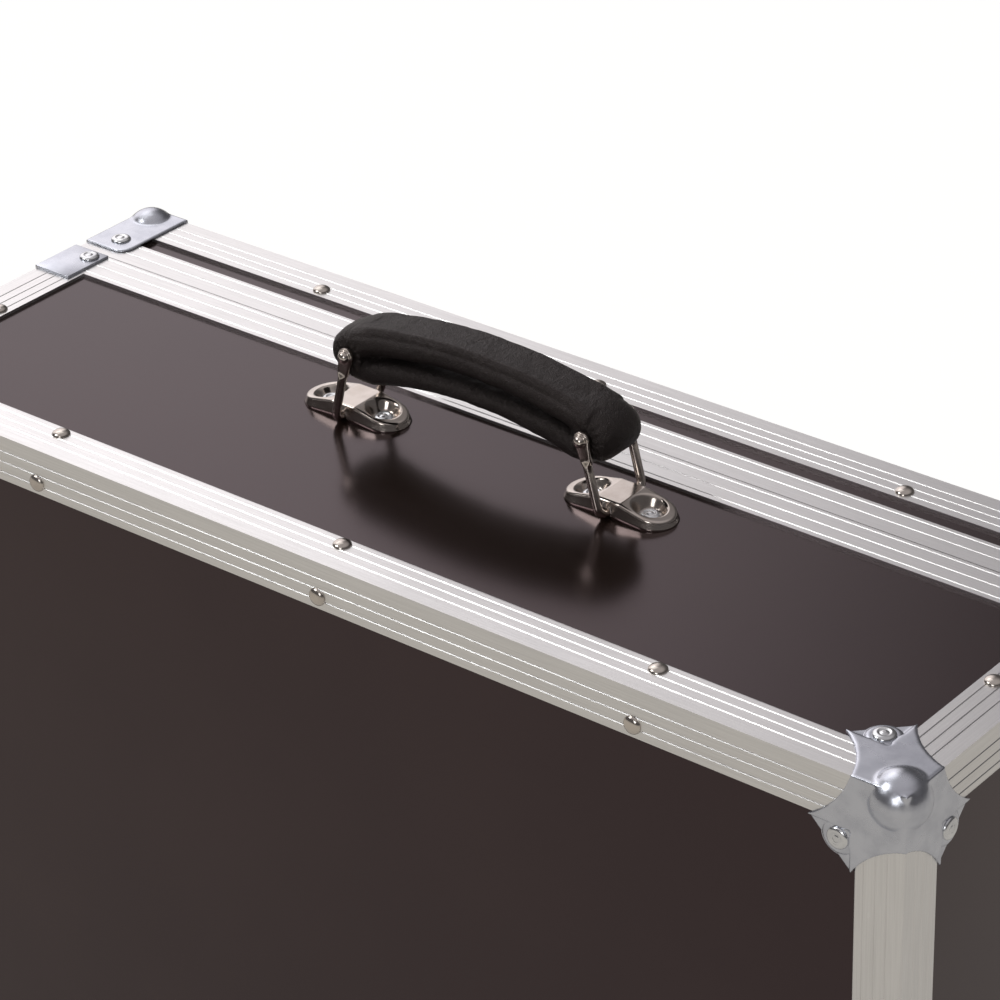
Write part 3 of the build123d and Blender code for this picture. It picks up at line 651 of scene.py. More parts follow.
class Fasteners:
    """Turned heads, grown on points by one Geometry Nodes tree for each kind."""

    def __init__(self, name: str, profile: Callable[[GeometryTree, Signal], Signal], rise: float, fall: float = 2.0,
                 ring: float = 0.0, ring_depth: float = 0.0, sides: int = 28) -> None:
        """Build the tree.

        Args:
            name: The tree's name.
            profile: Gives the height from the distance to the axis.
            rise: The height, as a share of the radius.
            fall: How late the dome falls off towards its rim.
            ring: The radius of a sunk ring.
            ring_depth: The depth of the ring.
            sides: Steps round the head.
        """
        self.tree = tree = GeometryTree(name, {
            "Rise": ("NodeSocketFloat", rise), "Fall": ("NodeSocketFloat", fall),
            "Ring": ("NodeSocketFloat", ring), "Ring Depth": ("NodeSocketFloat", ring_depth),
            "Sides": ("NodeSocketInt", sides), "Tilt": ("NodeSocketFloat", 0.02),
            "Finish": ("NodeSocketMaterial", None),
        })
        cone = tree.node("GeometryNodeMeshCone", {"fill_type": "NGON"}, {
            "Vertices": tree.given.of("Sides"), "Side Segments": HEAD_STEPS, "Radius Top": 0.0,
            "Radius Bottom": 1.0, "Depth": 1.0}, "Mesh")
        across = tree.node("ShaderNodeSeparateXYZ", {}, {0: tree.node("GeometryNodeInputPosition")})
        reach = (across ** 2.0 + across.of(1) * across.of(1)).math("SQRT")
        swell = (reach * (math.pi / 2)).math("SINE")
        widen = swell / reach.math("MAXIMUM", 0.0001)
        spot = tree.node("ShaderNodeCombineXYZ", {}, {
            0: across * widen, 1: across.of(1) * widen, 2: profile(tree, swell)})
        head = tree.node("GeometryNodeSetPosition", {}, {"Geometry": cone, "Position": spot})
        upright = tree.node("FunctionNodeAlignRotationToVector", {"axis": "Z"},
                            {"Vector": tree.attribute("outward", "FLOAT_VECTOR")})
        tilt = tree.given.of("Tilt")
        most = tree.node("ShaderNodeCombineXYZ", {}, {0: tilt, 1: tilt, 2: math.pi})
        least = tree.node("ShaderNodeCombineXYZ", {}, {0: -1.0 * tilt, 1: -1.0 * tilt, 2: -math.pi})
        chance = tree.node("FunctionNodeRandomValue", {"data_type": "FLOAT_VECTOR"},
                           {0: least, 1: most, "Seed": TURN_SEED})
        turn = tree.node("FunctionNodeEulerToRotation", {}, {0: chance})
        facing = tree.node("FunctionNodeRotateRotation", {"rotation_space": "LOCAL"}, {0: upright, 1: turn})
        size = tree.attribute("radius", "FLOAT")
        tree.close(tree.node("GeometryNodeInstanceOnPoints", {}, {
            "Points": tree.given, "Instance": head, "Rotation": facing, "Scale": size}))

    def grow(self, name: str, heads: Iterable[Head], finish: bpy.types.Material) -> bpy.types.Object:
        """Grow the heads as one piece."""
        return self.tree.grow(name, points_mesh(name, heads), finish)


@dataclass
class Rivets:
    """All rivets of the case: domed ones in the edging, blind ones in the hardware."""

    finishes: dict[str, bpy.types.Material]
    boss_reach: float = 8.2
    boss_rise: float = 1.2
    petal_depth: float = 1.15
    petal_band: tuple[float, float] = (30.0, 37.0)
    petal_skew: float = 1.0

    def build(self) -> None:
        """Grow every rivet, and the pressed boss round each corner rivet."""
        domed = Fasteners("domed_rivets", dome_profile, 0.50, 2.1)
        blind = Fasteners("blind_rivets", dome_profile, 0.30, 5.0, 0.40, 0.5, 32)
        bosses = Fasteners("corner_bosses", flare_profile, self.boss_rise / self.boss_reach, sides=40)
        for side in ("base", "lid"):
            seat(domed.grow(f"{side}_domed_heads", heads_of(f"{side}_rivets"), self.finishes["rivet_steel"]),
                 side, "rivet_steel", f"{side}_rivets")
            heads = heads_of(f"{side}_blind_rivets")
            seat(blind.grow(f"{side}_blind_heads", heads, self.finishes["blind_steel"]),
                 side, "rivet_steel", f"{side}_blind_rivets")
            spots = [Head(head.place - head.outward * self.petal_depth * MM, head.outward, self.boss_reach * MM)
                     for head in heads if self.on_petal(head)]
            seat(bosses.grow(f"{side}_corner_bosses", spots, self.finishes["corner_steel"]), side, "corner_steel")
        seat(blind.grow("plate_blind_heads", heads_of("handle_plate_rivets"), self.finishes["blind_steel"]),
             "base", "rivet_steel", "handle_plate_rivets")

    def on_petal(self, head: Head) -> bool:
        """Whether a blind rivet sits on a ball corner's petal, equally deep inside two sides of the case."""
        low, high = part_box("base_ball_corners")[0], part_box("lid_ball_corners")[1]
        depths = sorted(min(head.place[axis] - low[axis], high[axis] - head.place[axis]) / MM for axis in range(3))
        near, far = self.petal_band
        return abs(depths[1] - depths[2]) < self.petal_skew and near < depths[1] < far


@dataclass
class HandlePlate:
    """A pressed plate: a raised bridge over the bow, sloping shoulders and a cup round each rivet."""

    name: str
    node: str
    length: float = 54.5
    width: float = 21.4
    crest: float = 7.6
    tip: float = 3.0
    flat: float = 12.0
    draft: float = 1.0
    rolled: float = 1.2
    wall: float = 0.9
    cup_span: float = 29.2
    cup_mouth: float = 8.1
    cup_floor: float = 4.2
    floor_rise: float = 1.15
    notch_half: float = 2.6
    notch_rise: float = 4.6
    notch_round: float = 0.3
    wall_shares: tuple[float, ...] = (0.0, 0.35, 0.7, 1.0)
    straight_steps: int = 90
    round_steps: int = 64
    roll_steps: int = 5
    rings: int = 20
    weld: float = 0.01

    def roof(self, x: float) -> float:
        """The plate's height over its base at a place along it."""
        reach = max(abs(x) - self.flat / 2, 0.0) / (self.length / 2 - self.flat / 2)
        return self.crest - (self.crest - self.tip) * reach

    def cup(self, x: float, y: float, height: float) -> float:
        """Sink the height into the nearer rivet's cup."""
        reach = math.hypot(abs(x) - self.cup_span / 2, y)
        return self.floor_rise + (height - self.floor_rise) * ease(reach, self.cup_floor, self.cup_mouth)

    def rim(self, station: int, inset: float) -> tuple[float, float]:
        """A point on the slot-shaped outline, moved inwards.

        Args:
            station: Its number along the outline.
            inset: How far it moves inwards.

        Returns:
            Its x and y.
        """
        straight = self.length / 2 - self.width / 2
        reach = self.width / 2 - inset
        side, step = divmod(station, self.straight_steps + self.round_steps)
        sign = 1.0 - 2.0 * side
        if step < self.straight_steps:
            return sign * straight * (1.0 - 2.0 * step / self.straight_steps), sign * reach
        turn = math.pi * (0.5 + (step - self.straight_steps) / self.round_steps)
        return sign * (reach * math.cos(turn) - straight), sign * reach * math.sin(turn)

    def profile(self) -> list[tuple[float, float, float]]:
        """Steps from the foot of the wall to the middle line: inset, drop below the roof, and share of the wall."""
        steps = [(self.draft * share, self.rolled, share) for share in self.wall_shares]
        for i in range(1, self.roll_steps + 1):
            turn = i / self.roll_steps * math.pi / 2
            steps.append((self.draft + self.rolled * (1 - math.cos(turn)), self.rolled * (1 - math.sin(turn)), 1.0))
        start = self.draft + self.rolled
        span = self.width / 2 - start
        return steps + [(start + span * (i / self.rings), 0.0, 1.0) for i in range(1, self.rings + 1)]

    def height(self, x: float, y: float, drop: float, share: float) -> float:
        """The skin's height over the plate's base.

        Args:
            x: The place along the plate.
            y: The place across it.
            drop: How far the rolled edge lies below the roof.
            share: How far up the wall the place is, 1 on the roof.

        Returns:
            The height, with the bow's notch cut up into the wall's foot.
        """
        top = self.cup(x, y, self.roof(x)) - drop
        notch = self.notch_rise * max(0.0, 1.0 - (x / self.notch_half) ** 2) ** self.notch_round
        return max(top if share == 1.0 else notch + (top - notch) * share, 0.0)

    def skin(self) -> bpy.types.Object:
        """Make the plate's upper skin over its CAD node, facing up."""
        low, high = (Vector(corner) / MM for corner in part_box(self.node))
        middle = (low + high) / 2
        steps = self.profile()
        stations = 2 * (self.straight_steps + self.round_steps)
        points = []
        for inset, drop, share in steps:
            for x, y in (self.rim(station, inset) for station in range(stations)):
                points.append((middle.x + x, middle.y + y, low.z + self.height(x, y, drop, share)))
        faces = [
            (row + i, row + stations + i, row + stations + (i + 1) % stations, row + (i + 1) % stations)
            for row in range(0, (len(steps) - 1) * stations, stations) for i in range(stations)
        ]
        plate = shell(self.name, points, faces, closed=False)
        shape = bmesh.new()
        shape.from_mesh(plate.data)
        bmesh.ops.remove_doubles(shape, verts=shape.verts, dist=self.weld * MM)
        if sum(face.normal.z * face.calc_area() for face in shape.faces) < 0:
            bmesh.ops.reverse_faces(shape, faces=shape.faces)
        shape.to_mesh(plate.data)
        shape.free()
        return plate

    def build(self, finish: bpy.types.Material) -> None:
        """Give the skin its wall and fix the plate to the base."""
        plate = self.skin()
        wall = plate.modifiers.new("wall", "SOLIDIFY")
        wall.thickness, wall.offset = self.wall * MM, -1.0
        seat(plain(plate), "base", "handle_steel", self.node, finish=finish)


@dataclass
class WireBow:
    """A wire bow with two flattened blades, and the headed pin through their eyes.

    A head's rim is a row of steps, each counted outwards from pin_rim and off the head's seat.
    """

    side: str
    foot: Point
    eye: Point
    spread: float = 14.7
    wire: float = 1.95
    bend: float = 4.5
    eye_half: float = 3.8
    neck_half: float = 2.7
    blade_half: float = 1.15
    blade: float = 9.0
    neck: float = 11.2
    sides: int = 24
    pin: float = 1.6
    pin_rim: float = 3.3
    pin_dome: float = 2.75
    pin_rise: float = 2.7
    pin_sides: int = 32
    pin_pole: float = 0.03
    pin_crease: float = 50.0
    head_gap: float = 1.2
    head_rim: tuple[tuple[float, float], ...] = ((-0.3, 0.52), (0.0, 0.25), (0.0, 0.0))
    dome_seat: float = 0.55
    dome_steps: int = 8
    blade_square: float = 5.0
    wire_square: float = 2.0
    blade_taper: float = 0.8
    tip_half: float = 0.02
    tip_thin: float = 0.3
    crease: float = 48.0
    bend_steps: int = 12

    def section(self, below: float) -> tuple[float, float, float]:
        """The wire's section at a place on a leg.

        Args:
            below: The distance below the eye's centre, negative over it.

        Returns:
            Half its thickness across the case, half its width, and how square it is.
        """
        if below < 0.0:
            width = math.sqrt(max(self.eye_half ** 2 - below ** 2, self.tip_half ** 2))
            return self.blade_half * min(1.0, self.tip_thin + width / 2.0), width, self.blade_square
        if below < self.blade:
            width = self.eye_half + (self.neck_half - self.eye_half) * (below / self.blade) ** self.blade_taper
            return self.blade_half, width, self.blade_square
        share = min((below - self.blade) / (self.neck - self.blade), 1.0)
        return (self.blade_half + (self.wire - self.blade_half) * share,
                self.neck_half + (self.wire - self.neck_half) * share,
                self.blade_square + (self.wire_square - self.blade_square) * share)

    def stations(self, length: float) -> list[tuple[float, float, float, float]]:
        """Places on the wire in its own plane: across, up, the turn of its section, and distance under the eye."""
        leg = [-self.eye_half + self.tip_half, -3.9, -3.6, -3.1, -2.4, -1.6, -0.8, 0.0]
        straight_end = length - self.bend
        for start, end, steps in ((0.0, self.blade, 6), (self.blade, self.neck, 4), (self.neck, straight_end, 6)):
            leg += [start + (end - start) * i / steps for i in range(1, steps + 1)]
        near = [(-self.spread, length - down, 0.0, down) for down in leg]
        inner = self.spread - self.bend
        for i in range(1, self.bend_steps + 1):
            turn = i / self.bend_steps * math.pi / 2
            near.append((-inner - self.bend * math.cos(turn), self.bend * (1.0 - math.sin(turn)), turn, length))
        far = [(-across, up, math.pi - turn, down) for across, up, turn, down in reversed(near)]
        return near + far

    def ring(self, centre: Vector, lateral: Vector, flat: Vector, below: float) -> list[Vector]:
        """One closed row of points round the wire.

        Args:
            centre: The middle of the section.
            lateral: The direction of its thickness.
            flat: The direction of its width.
            below: The distance below the eye's centre.

        Returns:
            The points.
        """
        thick, wide, square = self.section(below)
        return [centre + lateral * cosine * thick + flat * sine * wide
                for cosine, sine in oval(self.sides, 2.0 / square)]

    def build(self, steel: bpy.types.Material) -> None:
        """Make the bow and its pin and fix both to the bow's body."""
        foot, eye = Vector(self.foot), Vector(self.eye)
        rise = eye - foot
        length = rise.length
        rise.normalize()
        across = Vector((0.0, 1.0, 0.0))
        flat = across.cross(rise)
        rings = [
            self.ring(foot + across * place + rise * up, across * math.cos(turn) + rise * math.sin(turn), flat, down)
            for place, up, turn, down in self.stations(length)
        ]
        bow = tube(f"wire_bow_{self.side}", rings)
        bow.data.set_sharp_from_angle(angle=math.radians(self.crease))
        seat(bow, f"bow_{self.side}", "handle_steel", f"handle_bow_{self.side}", finish=steel)
        seat(self.headed_pin(eye), f"bow_{self.side}", "handle_steel", f"handle_pin_{self.side}", finish=steel)

    def headed_pin(self, eye: Vector) -> bpy.types.Object:
        """Turn the pin: a shank between two rimmed and domed heads."""
        face = self.spread + self.head_gap
        dome_face, dome_rise = face + self.dome_seat, self.pin_rise - self.dome_seat
        half = [(self.pin_pole, face + self.pin_rise)]
        for i in range(1, self.dome_steps + 1):
            turn = i / self.dome_steps * math.pi / 2
            half.append((self.pin_dome * math.sin(turn), dome_face + dome_rise * math.cos(turn)))
        half += [(self.pin_rim + out, face + off) for out, off in self.head_rim]
        half += [(self.pin, face), (self.pin, face - 1.0)]
        profile = half + [(radius, -y) for radius, y in reversed(half)]
        rings = [
            [eye + Vector((radius * math.cos(a), y, radius * math.sin(a)))
             for a in (2 * math.pi * i / self.pin_sides for i in range(self.pin_sides))]
            for radius, y in profile
        ]
        pin = tube(f"headed_pin_{self.side}", rings)
        pin.data.set_sharp_from_angle(angle=math.radians(self.pin_crease))
        return pin


@dataclass(frozen=True)
class Fold:
    """A raised or sunk line in the leather, which shows over part of another measure's range."""

    height: float
    centre: float
    width: float
    shows: tuple[float, float] = (-1.0, 0.0)

    def at(self, value: float, other: float = 0.0) -> float:
        """The leather's move at a value across the line and at a value of the other measure."""
        return self.height * bell(value, self.centre, self.width) * ease(other, *self.shows)


@dataclass
class LeatherGrip:
    """A padded grip: a thick dished band over a thinner one, drawn together round both pins."""

    half_long: float = 76.3
    half_wide: float = 12.0
    swell: float = 1.3
    crown: float = 54.7
    shoulder: tuple[float, float] = (60.0, 48.0)
    slit_end: tuple[float, float] = (57.0, 33.0)
    slit_top: float = 40.6
    slit_low: float = 38.0
    heel: tuple[float, float] = (52.0, 20.9)
    arch: float = 28.3
    low_half_wide: float = 11.2
    dish: float = 0.8
    close: float = 35.5
    end_start: float = 56.0
    end_dish: float = 0.4
    band_half: float = 64.0
    ridge_end: float = 72.0
    top_round: float = 2.8
    low_round: float = 3.2
    side_round: float = 8.0
    tip_rise: float = 3.0
    waves: tuple[tuple[float, float], ...] = ((0.34, 0.10), (0.14, 0.31))
    edge_ridge: Fold = Fold(0.55, 8.2, 1.3, (-3.5, -1.0))
    edge_furrow: Fold = Fold(-0.75, 3.6, 1.2, (7.5, 9.5))
    edge_roll: Fold = Fold(0.45, 8.2, 2.4, (8.0, 10.0))
    edge_span: tuple[float, float] = (-66.0, -50.0)
    gather: Fold = Fold(0.45, 3.5, 2.6, (-3.0, 0.0))
    gather_side: float = 9.0
    pin_fan: Fold = Fold(0.24, 6.0, 2.6)
    pin_dent: Fold = Fold(-1.1, 0.0, 3.4)
    folds: float = 13.0
    fold_wander: float = 2.5
    fold_reach: float = 16.0
    pin_side: float = 6.0
    swell_span: tuple[float, float] = (46.0, 60.0)
    dish_half: float = 5.5
    plump: float = 0.74
    band_steps: int = 80
    band_sides: int = 56
    voxel: float = 0.6
    smooth_steps: int = 6

    @staticmethod
    def bow(x: float, end: tuple[float, float], middle: float) -> float:
        """The height of a shallow arc through its middle and its two ends."""
        sag = middle - end[1]
        radius = (end[0] ** 2 + sag ** 2) / (2 * sag)
        return middle - radius + math.sqrt(max(radius ** 2 - min(abs(x), radius) ** 2, 0.0))

    def past_end(self, x: float) -> float:
        """How far a place lies into a rounded end: 0 where the end starts, 1 at its tip."""
        return max(abs(x) - self.end_start, 0.0) / (self.half_long - self.end_start)

    def upper(self, x: float) -> float:
        """The grip's upper outline, which curves down over both ends."""
        full = self.bow(x, self.shoulder, self.crown) - self.close
        return self.close + full * (1.0 - self.past_end(x) ** self.top_round) ** 0.5

    def under(self, x: float) -> float:
        """The grip's lower outline, which rises round both ends."""
        past = self.past_end(x)
        low = self.bow(x, self.heel, self.arch) if abs(x) < self.heel[0] else self.heel[1]
        return self.close + (low + self.tip_rise * past ** 2 - self.close) * (1.0 - past ** self.low_round) ** 0.5

    def band(self, name: str, first: float, last: float, half_wide: float, top: Callable[[float], float],
             low: Callable[[float], float], dish: float) -> bpy.types.Object:
        """Loft one band.

        Args:
            name: The piece's name.
            first: Where it starts along the grip.
            last: Where it ends.
            half_wide: Half its width.
            top: Its upper edge along the grip.
            low: Its lower edge.
            dish: How far its top is dished.

        Returns:
            The band.
        """
        rings = []
        for i in range(self.band_steps + 1):
            x = (first + last) / 2 + (last - first) / 2 * math.sin(math.pi / 2 * (2 * i / self.band_steps - 1))
            x = min(max(x, -self.half_long * 0.9996), self.half_long * 0.9996)
            past = self.past_end(x)
            centre, half = (top(x) + low(x)) / 2, (top(x) - low(x)) / 2
            wide = (half_wide + self.swell * ease(abs(x), *self.swell_span)) * (1.0 - past ** self.side_round) ** 0.5
            ring = []
            for j, (across, up) in enumerate(oval(self.band_sides, self.plump)):
                y, z = across * wide, centre + up * half
                if up > 0.0:
                    sine = math.sin(2 * math.pi * j / self.band_sides)
                    z -= dish * sine * bell(y, 0.0, self.dish_half) * (1.0 - past)
                ring.append(Vector((x, HANDLE_Y + y, PANEL_TOP + z)))
            rings.append(ring)
        return tube(name, rings)

    def merged(self) -> bpy.types.Object:
        """Join the two bands and the two full ends into one even skin."""
        half, tip, slit = self.band_half, self.half_long, self.slit_end[0]
        parts = [
            self.band("leather_grip", -half, half, self.half_wide, self.upper,
                      lambda x: self.bow(x, self.slit_end, self.slit_top), self.dish),
            self.band("low_band", -half, half, self.low_half_wide,
                      lambda x: self.bow(x, self.slit_end, self.slit_low), self.under, 0.0),
            self.band("left_end", -tip, -slit, self.half_wide, self.upper, self.under, self.end_dish),
            self.band("right_end", slit, tip, self.half_wide, self.upper, self.under, self.end_dish),
        ]
        grip = parts[0]
        shape = bmesh.new()
        for part in parts:
            shape.from_mesh(part.data)
        shape.to_mesh(grip.data)
        shape.free()
        for part in parts[1:]:
            bpy.data.objects.remove(part)
        remesh = grip.modifiers.new("skin", "REMESH")
        remesh.mode, remesh.voxel_size, remesh.use_smooth_shade = "VOXEL", self.voxel * MM, True
        relax = grip.modifiers.new("relax", "SMOOTH")
        relax.factor, relax.iterations = 0.5, self.smooth_steps
        return plain(grip)

    def pucker(self, spot: Vector) -> float:
        """How far the leather moves at a place on the grip, in millimetres outwards.

        Args:
            spot: The place from the grip's middle, with z over the panel.

        Returns:
            The move along the normal.
        """
        side = abs(spot.y)
        uneven = sum(height * noise.noise(spot * often) for height, often in self.waves)
        depth = self.upper(max(min(spot.x, self.ridge_end), -self.ridge_end)) - spot.z
        edge = self.edge_ridge.at(side, -depth) + self.edge_furrow.at(depth, side) + self.edge_roll.at(depth, side)
        slit = abs(spot.z - self.bow(spot.x, self.slit_end, (self.slit_top + self.slit_low) / 2))
        stripes = noise.noise(Vector((spot.x * 0.62 + spot.z * 0.28, spot.y * 0.12, spot.z * 0.1)))
        gathers = stripes * self.gather.at(slit, -abs(side - self.gather_side))
        return uneven + self.pin_folds(spot) + ease(-abs(spot.x), *self.edge_span) * edge + gathers

    def pin_folds(self, spot: Vector) -> float:
        """The folds that fan out round a pin's head, and the dent under the head."""
        across = spot.x - math.copysign(PIN_X, spot.x)
        up = spot.z - PIN_RISE
        reach = math.hypot(across, up)
        if abs(spot.y) <= self.pin_side or reach >= self.fold_reach:
            return 0.0
        fold = math.sin(self.folds * math.atan2(up, across) + self.fold_wander * noise.noise(spot * 0.5))
        return fold * self.pin_fan.at(reach) + self.pin_dent.at(reach)

    def build(self, leather: bpy.types.Material) -> None:
        """Make the grip and fix it to its own body."""
        grip = self.merged()
        middle = Vector((0.0, HANDLE_Y, PANEL_TOP))
        normals = [vertex.normal.copy() for vertex in grip.data.vertices]
        for vertex, normal in zip(grip.data.vertices, normals):
            vertex.co += normal * self.pucker(vertex.co / MM - middle) * MM
        grip.data.shade_smooth()
        seat(grip, "grip", "leather", "handle_grip", finish=leather)


@dataclass
class Softened:
    """Hardware whose CAD edges are rolled over, as pressed and tumbled steel is."""

    width: float = 0.35
    steps: int = 2
    limit: float = 28.0

    def build(self, node: str, body: str, slot: str, finish: bpy.types.Material) -> bpy.types.Object:
        """Roll the edges of one node.

        Args:
            node: The CAD node.
            body: Its body.
            slot: Its material slot.
            finish: Its material.

        Returns:
            The piece that stands for it.
        """
        shape = welded(node, whole_faces=True)
        mesh = bpy.data.meshes.new(f"rolled_{node}")
        shape.to_mesh(mesh)
        shape.free()
        mesh.shade_smooth()
        piece = linked(bpy.data.objects.new(f"rolled_{node}", mesh))
        edge = piece.modifiers.new("rolled_edges", "BEVEL")
        edge.width, edge.segments, edge.limit_method = self.width * MM, self.steps, "ANGLE"
        edge.angle_limit, edge.harden_normals = math.radians(self.limit), True
        plain(piece)
        seat(piece, body, slot, node, finish=finish)
        return piece


@dataclass
class Pressed:
    """Sheet hardware whose folds, bosses and ball run into each other in soft curves."""

    voxel: float = 0.62
    relax: int = 5

    def build(self, node: str, body: str, slot: str, finish: bpy.types.Material) -> None:
        """Skin one node evenly and relax the skin.

        Args:
            node: The CAD node.
            body: Its body.
            slot: Its material slot.
            finish: Its material.
        """
        shape = welded(node, whole_faces=False)
        mesh = bpy.data.meshes.new(f"pressed_{node}")
        shape.to_mesh(mesh)
        shape.free()
        piece = linked(bpy.data.objects.new(f"pressed_{node}", mesh))
        skin = piece.modifiers.new("skin", "REMESH")
        skin.mode, skin.voxel_size, skin.use_smooth_shade = "VOXEL", self.voxel * MM, True
        relax = piece.modifiers.new("relax", "SMOOTH")
        relax.factor, relax.iterations = 0.5, self.relax
        plain(piece)
        piece.data.shade_smooth()
        seat(piece, body, slot, node, finish=finish)


@dataclass
class FoamLining:
    """A foam block with soft cut edges and a hand-cut unevenness."""

    node: str
    body: str
    edge: float = 2.4
    uneven: float = 0.5

    def build(self, foam: bpy.types.Material) -> None:
        """Round the block's edges, wave its faces a little and fix it to its body."""
        block = Softened(self.edge, 3, 40.0).build(self.node, self.body, "foam", foam)
        for vertex in block.data.vertices:
            vertex.co -= vertex.normal * abs(noise.noise(vertex.co * 22.0)) * self.uneven * MM


@dataclass
class Studio:
    """The camera at the photograph's angle, the pale floor and the soft light.

    What gloss mirrors of the room is dim all round, brighter to one side and overhead: mirrored holds the
    three levels, and the spans say over which directions the two bright parts rise.
    """

    eye: Point = (0.8821, -1.0436, 1.1275)
    right: Point = (0.778519, 0.626972, -0.028532)
    down: Point = (0.291205, -0.401116, -0.868508)
    ahead: Point = (-0.555975, 0.667842, -0.494853)
    lens: float = 134.654
    sensor: float = 36.0
    world_level: float = 0.70
    room_tint: Colour = (1.0, 0.955, 0.97)
    bright_side: Point = (-0.80, 0.42, 0.42)
    side_span: tuple[float, float] = (0.84, 0.968)
    ceiling_span: tuple[float, float] = (0.45, 0.95)
    mirrored: tuple[float, float, float] = (0.10, 1.22, 0.40)
    floor_edge: float = 12000.0
    floor_tone: Colour = (0.265, 0.232, 0.170)
    floor_glow: float = 0.70
    floor_strength: float = 1.36
    floor_mirrored: float = 0.35
    lamps: tuple[tuple[str, Point, Point, float, float], ...] = (
        ("key_softbox", (-1.6, 0.6, 2.6), (0.0, 0.0, 0.3), 1.6, 6.0),
        ("front_softbox", (0.9, -2.6, 1.5), (0.0, 0.0, 0.25), 0.9, 12.0),
        ("side_softbox", (-1.25, -1.05, 1.9), (0.0, 0.0, 0.35), 0.8, 12.0),
    )

    def camera(self) -> None:
        """Make the scene's camera from its fitted place and axes."""
        data = bpy.data.cameras.new("camera")
        data.lens, data.sensor_width = self.lens, self.sensor
        data.clip_start, data.clip_end = 0.05, 60.0
        camera = linked(bpy.data.objects.new("camera", data))
        up, back = -Vector(self.down), -Vector(self.ahead)
        turn = Matrix((Vector(self.right), up, back)).transposed().to_4x4()
        camera.matrix_world = Matrix.Translation(self.eye) @ turn
        bpy.context.scene.camera = camera

    def world(self) -> None:
        """Light the scene from all round, brighter towards the back left, with a white backdrop."""
        world = bpy.data.worlds.new("studio")
        bpy.context.scene.world = world
        world.use_nodes = True
        tree = Tree(world.node_tree)
        ray = tree.node("ShaderNodeLightPath", out="Is Camera Ray")
        gloss = ray.of("Is Glossy Ray")
        coords = tree.node("ShaderNodeTexCoord", out="Generated")
        key = Vector(self.bright_side).normalized()
        facing = tree.node("ShaderNodeVectorMath", {"operation": "DOT_PRODUCT"}, {0: coords, 1: tuple(key)}, "Value")
        up = tree.node("ShaderNodeSeparateXYZ", {}, {0: coords}, 2)
        dim, side, ceiling = self.mirrored
        wall = dim + side * facing.above(*self.side_span) + ceiling * up.above(*self.ceiling_span)
        level = ray + (1.0 - ray) * (gloss * wall + (1.0 - gloss) * self.world_level)
        tint = tree.node("ShaderNodeMix", {"data_type": "RGBA"}, {0: ray, 6: self.room_tint, 7: (1.0, 1.0, 1.0)}, 2)
        tree.end("ShaderNodeOutputWorld", tree.node("ShaderNodeBackground", {}, {"Color": tint, "Strength": level}))

    def floor(self) -> None:
        """Lay a pale floor that reads white and keeps the case's shadow."""
        edge = self.floor_edge
        floor = shell("floor", [(-edge, -edge, 0), (edge, -edge, 0), (edge, edge, 0), (-edge, edge, 0)],
                      [(0, 1, 2, 3)], closed=False)
        tree = ShaderTree("pale_floor")
        ray = tree.node("ShaderNodeLightPath", out="Is Camera Ray")
        seen = ray + self.floor_mirrored * ray.of("Is Glossy Ray") + ray.of("Is Transmission Ray")
        matt = tree.node("ShaderNodeBsdfDiffuse", {}, {"Color": self.floor_tone})
        glow = tree.node("ShaderNodeEmission", {}, {"Color": (1.0, 1.0, 1.0), "Strength": self.floor_strength})
        tree.end("ShaderNodeOutputMaterial",
                 tree.node("ShaderNodeMixShader", {}, {0: self.floor_glow * seen, 1: matt, 2: glow}))
        floor.data.materials.append(tree.material)

    def lamp(self, name: str, place: Point, aim: Point, size: float, power: float) -> None:
        """Hang one square softbox.

        Args:
            name: The lamp's name.
            place: Where it hangs, in metres.
            aim: The point that it faces.
            size: Its side in metres.
            power: Its power in watts.
        """
        data = bpy.data.lights.new(name, "AREA")
        data.size, data.energy = size, power
        lamp = linked(bpy.data.objects.new(name, data))
        lamp.location = place
        lamp.rotation_mode = "QUATERNION"
        lamp.rotation_quaternion = (Vector(aim) - Vector(place)).to_track_quat("-Z", "Y")

    def build(self) -> None:
        """Set up the whole studio."""
        bpy.context.scene.view_settings.view_transform = "Standard"
        self.camera()
        self.world()
        self.floor()
        for lamp in self.lamps:
            self.lamp(*lamp)


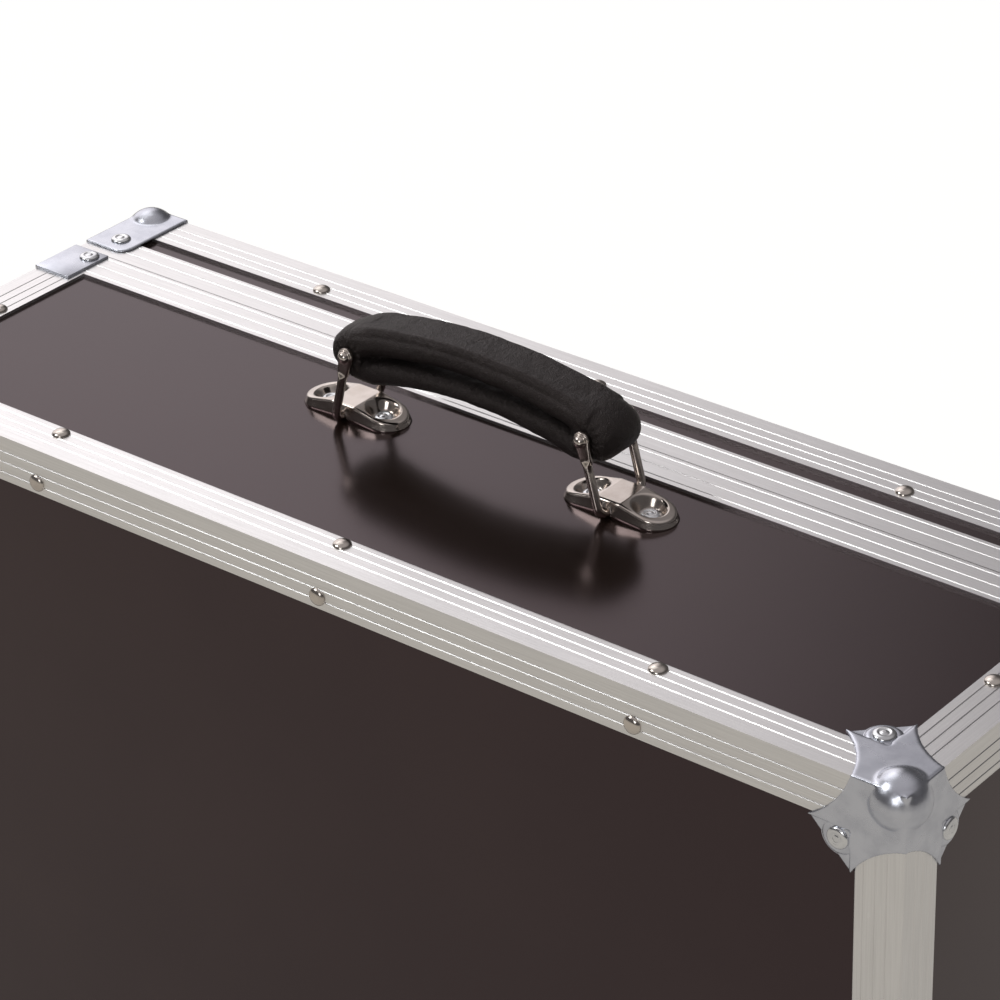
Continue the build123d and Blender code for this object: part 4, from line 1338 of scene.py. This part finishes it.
def make_finishes() -> dict[str, bpy.types.Material]:
    """Make the materials of all slots, by slot."""
    return {
        "laminate": Laminate().make(),
        "corner_steel": PlatedSteel("zinc_plate", (0.62, 0.64, 0.70), (0.53, 0.55, 0.61), 0.24).make(),
        "latch_steel": PlatedSteel("latch_zinc", (0.62, 0.63, 0.67), (0.53, 0.54, 0.58), 0.26).make(),
        "rivet_steel": PlatedSteel("nickel_rivet", (0.62, 0.57, 0.52), (0.53, 0.48, 0.44), 0.13).make(),
        "blind_steel": PlatedSteel("blind_rivet", (0.78, 0.79, 0.80), (0.66, 0.67, 0.69), 0.20).make(),
        "handle_steel": PlatedSteel("nickel_handle", (0.62, 0.56, 0.515), (0.54, 0.48, 0.435), 0.13).make(),
        "leather": Leather().make(),
        "rubber": Rubber().make(),
        "foam": Foam().make(),
    }


def dress_nodes(frame: dict[str, Any], finishes: dict[str, bpy.types.Material], body_of: dict[str, str]) -> None:
    """Give every CAD node its material, and roll the edges of the steel ones.

    Args:
        frame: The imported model.
        finishes: The materials by slot.
        body_of: The body of each node.
    """
    drawn = {run: Aluminium(run).make() for run in Run}
    slots = {part["node"]: part["material_slot"] for part in frame["record"]["subparts"]}
    rolled = {"corner_steel": Softened(0.30), "latch_steel": Softened(0.25), "rubber": Softened(0.8)}
    pressed = Pressed()
    for name, node in frame["nodes"].items():
        slot = slots[name]
        finish = drawn[Run.of(name)] if slot == "aluminium" else finishes[slot]
        node.data.materials.clear()
        node.data.materials.append(finish)
        if name.endswith("_ball_corners"):
            pressed.build(name, body_of[name], slot, finish)
        elif slot in rolled:
            rolled[slot].build(name, body_of[name], slot, finish)
        else:
            LOG.info("%s is dressed as %s", name, finish.name)


def main() -> None:
    """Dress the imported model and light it."""
    logging.basicConfig(level=logging.INFO)
    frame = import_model()
    Studio().build()
    finishes = make_finishes()
    body_of = {node: body for body, nodes in frame["record"]["behaviour"]["bodies"].items() for node in nodes}
    dress_nodes(frame, finishes, body_of)
    Rivets(finishes).build()
    for side, sign in (("left", -1.0), ("right", 1.0)):
        HandlePlate(f"pressed_plate_{side}", f"handle_plate_{side}").build(finishes["handle_steel"])
        foot = (sign * FOOT_X, HANDLE_Y, PANEL_TOP + FOOT_RISE)
        WireBow(side, foot, (sign * PIN_X, HANDLE_Y, PANEL_TOP + PIN_RISE)).build(finishes["handle_steel"])
    LeatherGrip().build(finishes["leather"])
    for side in ("base", "lid"):
        FoamLining(f"{side}_lining", side).build(finishes["foam"])


if __name__ == "__main__":
    main()
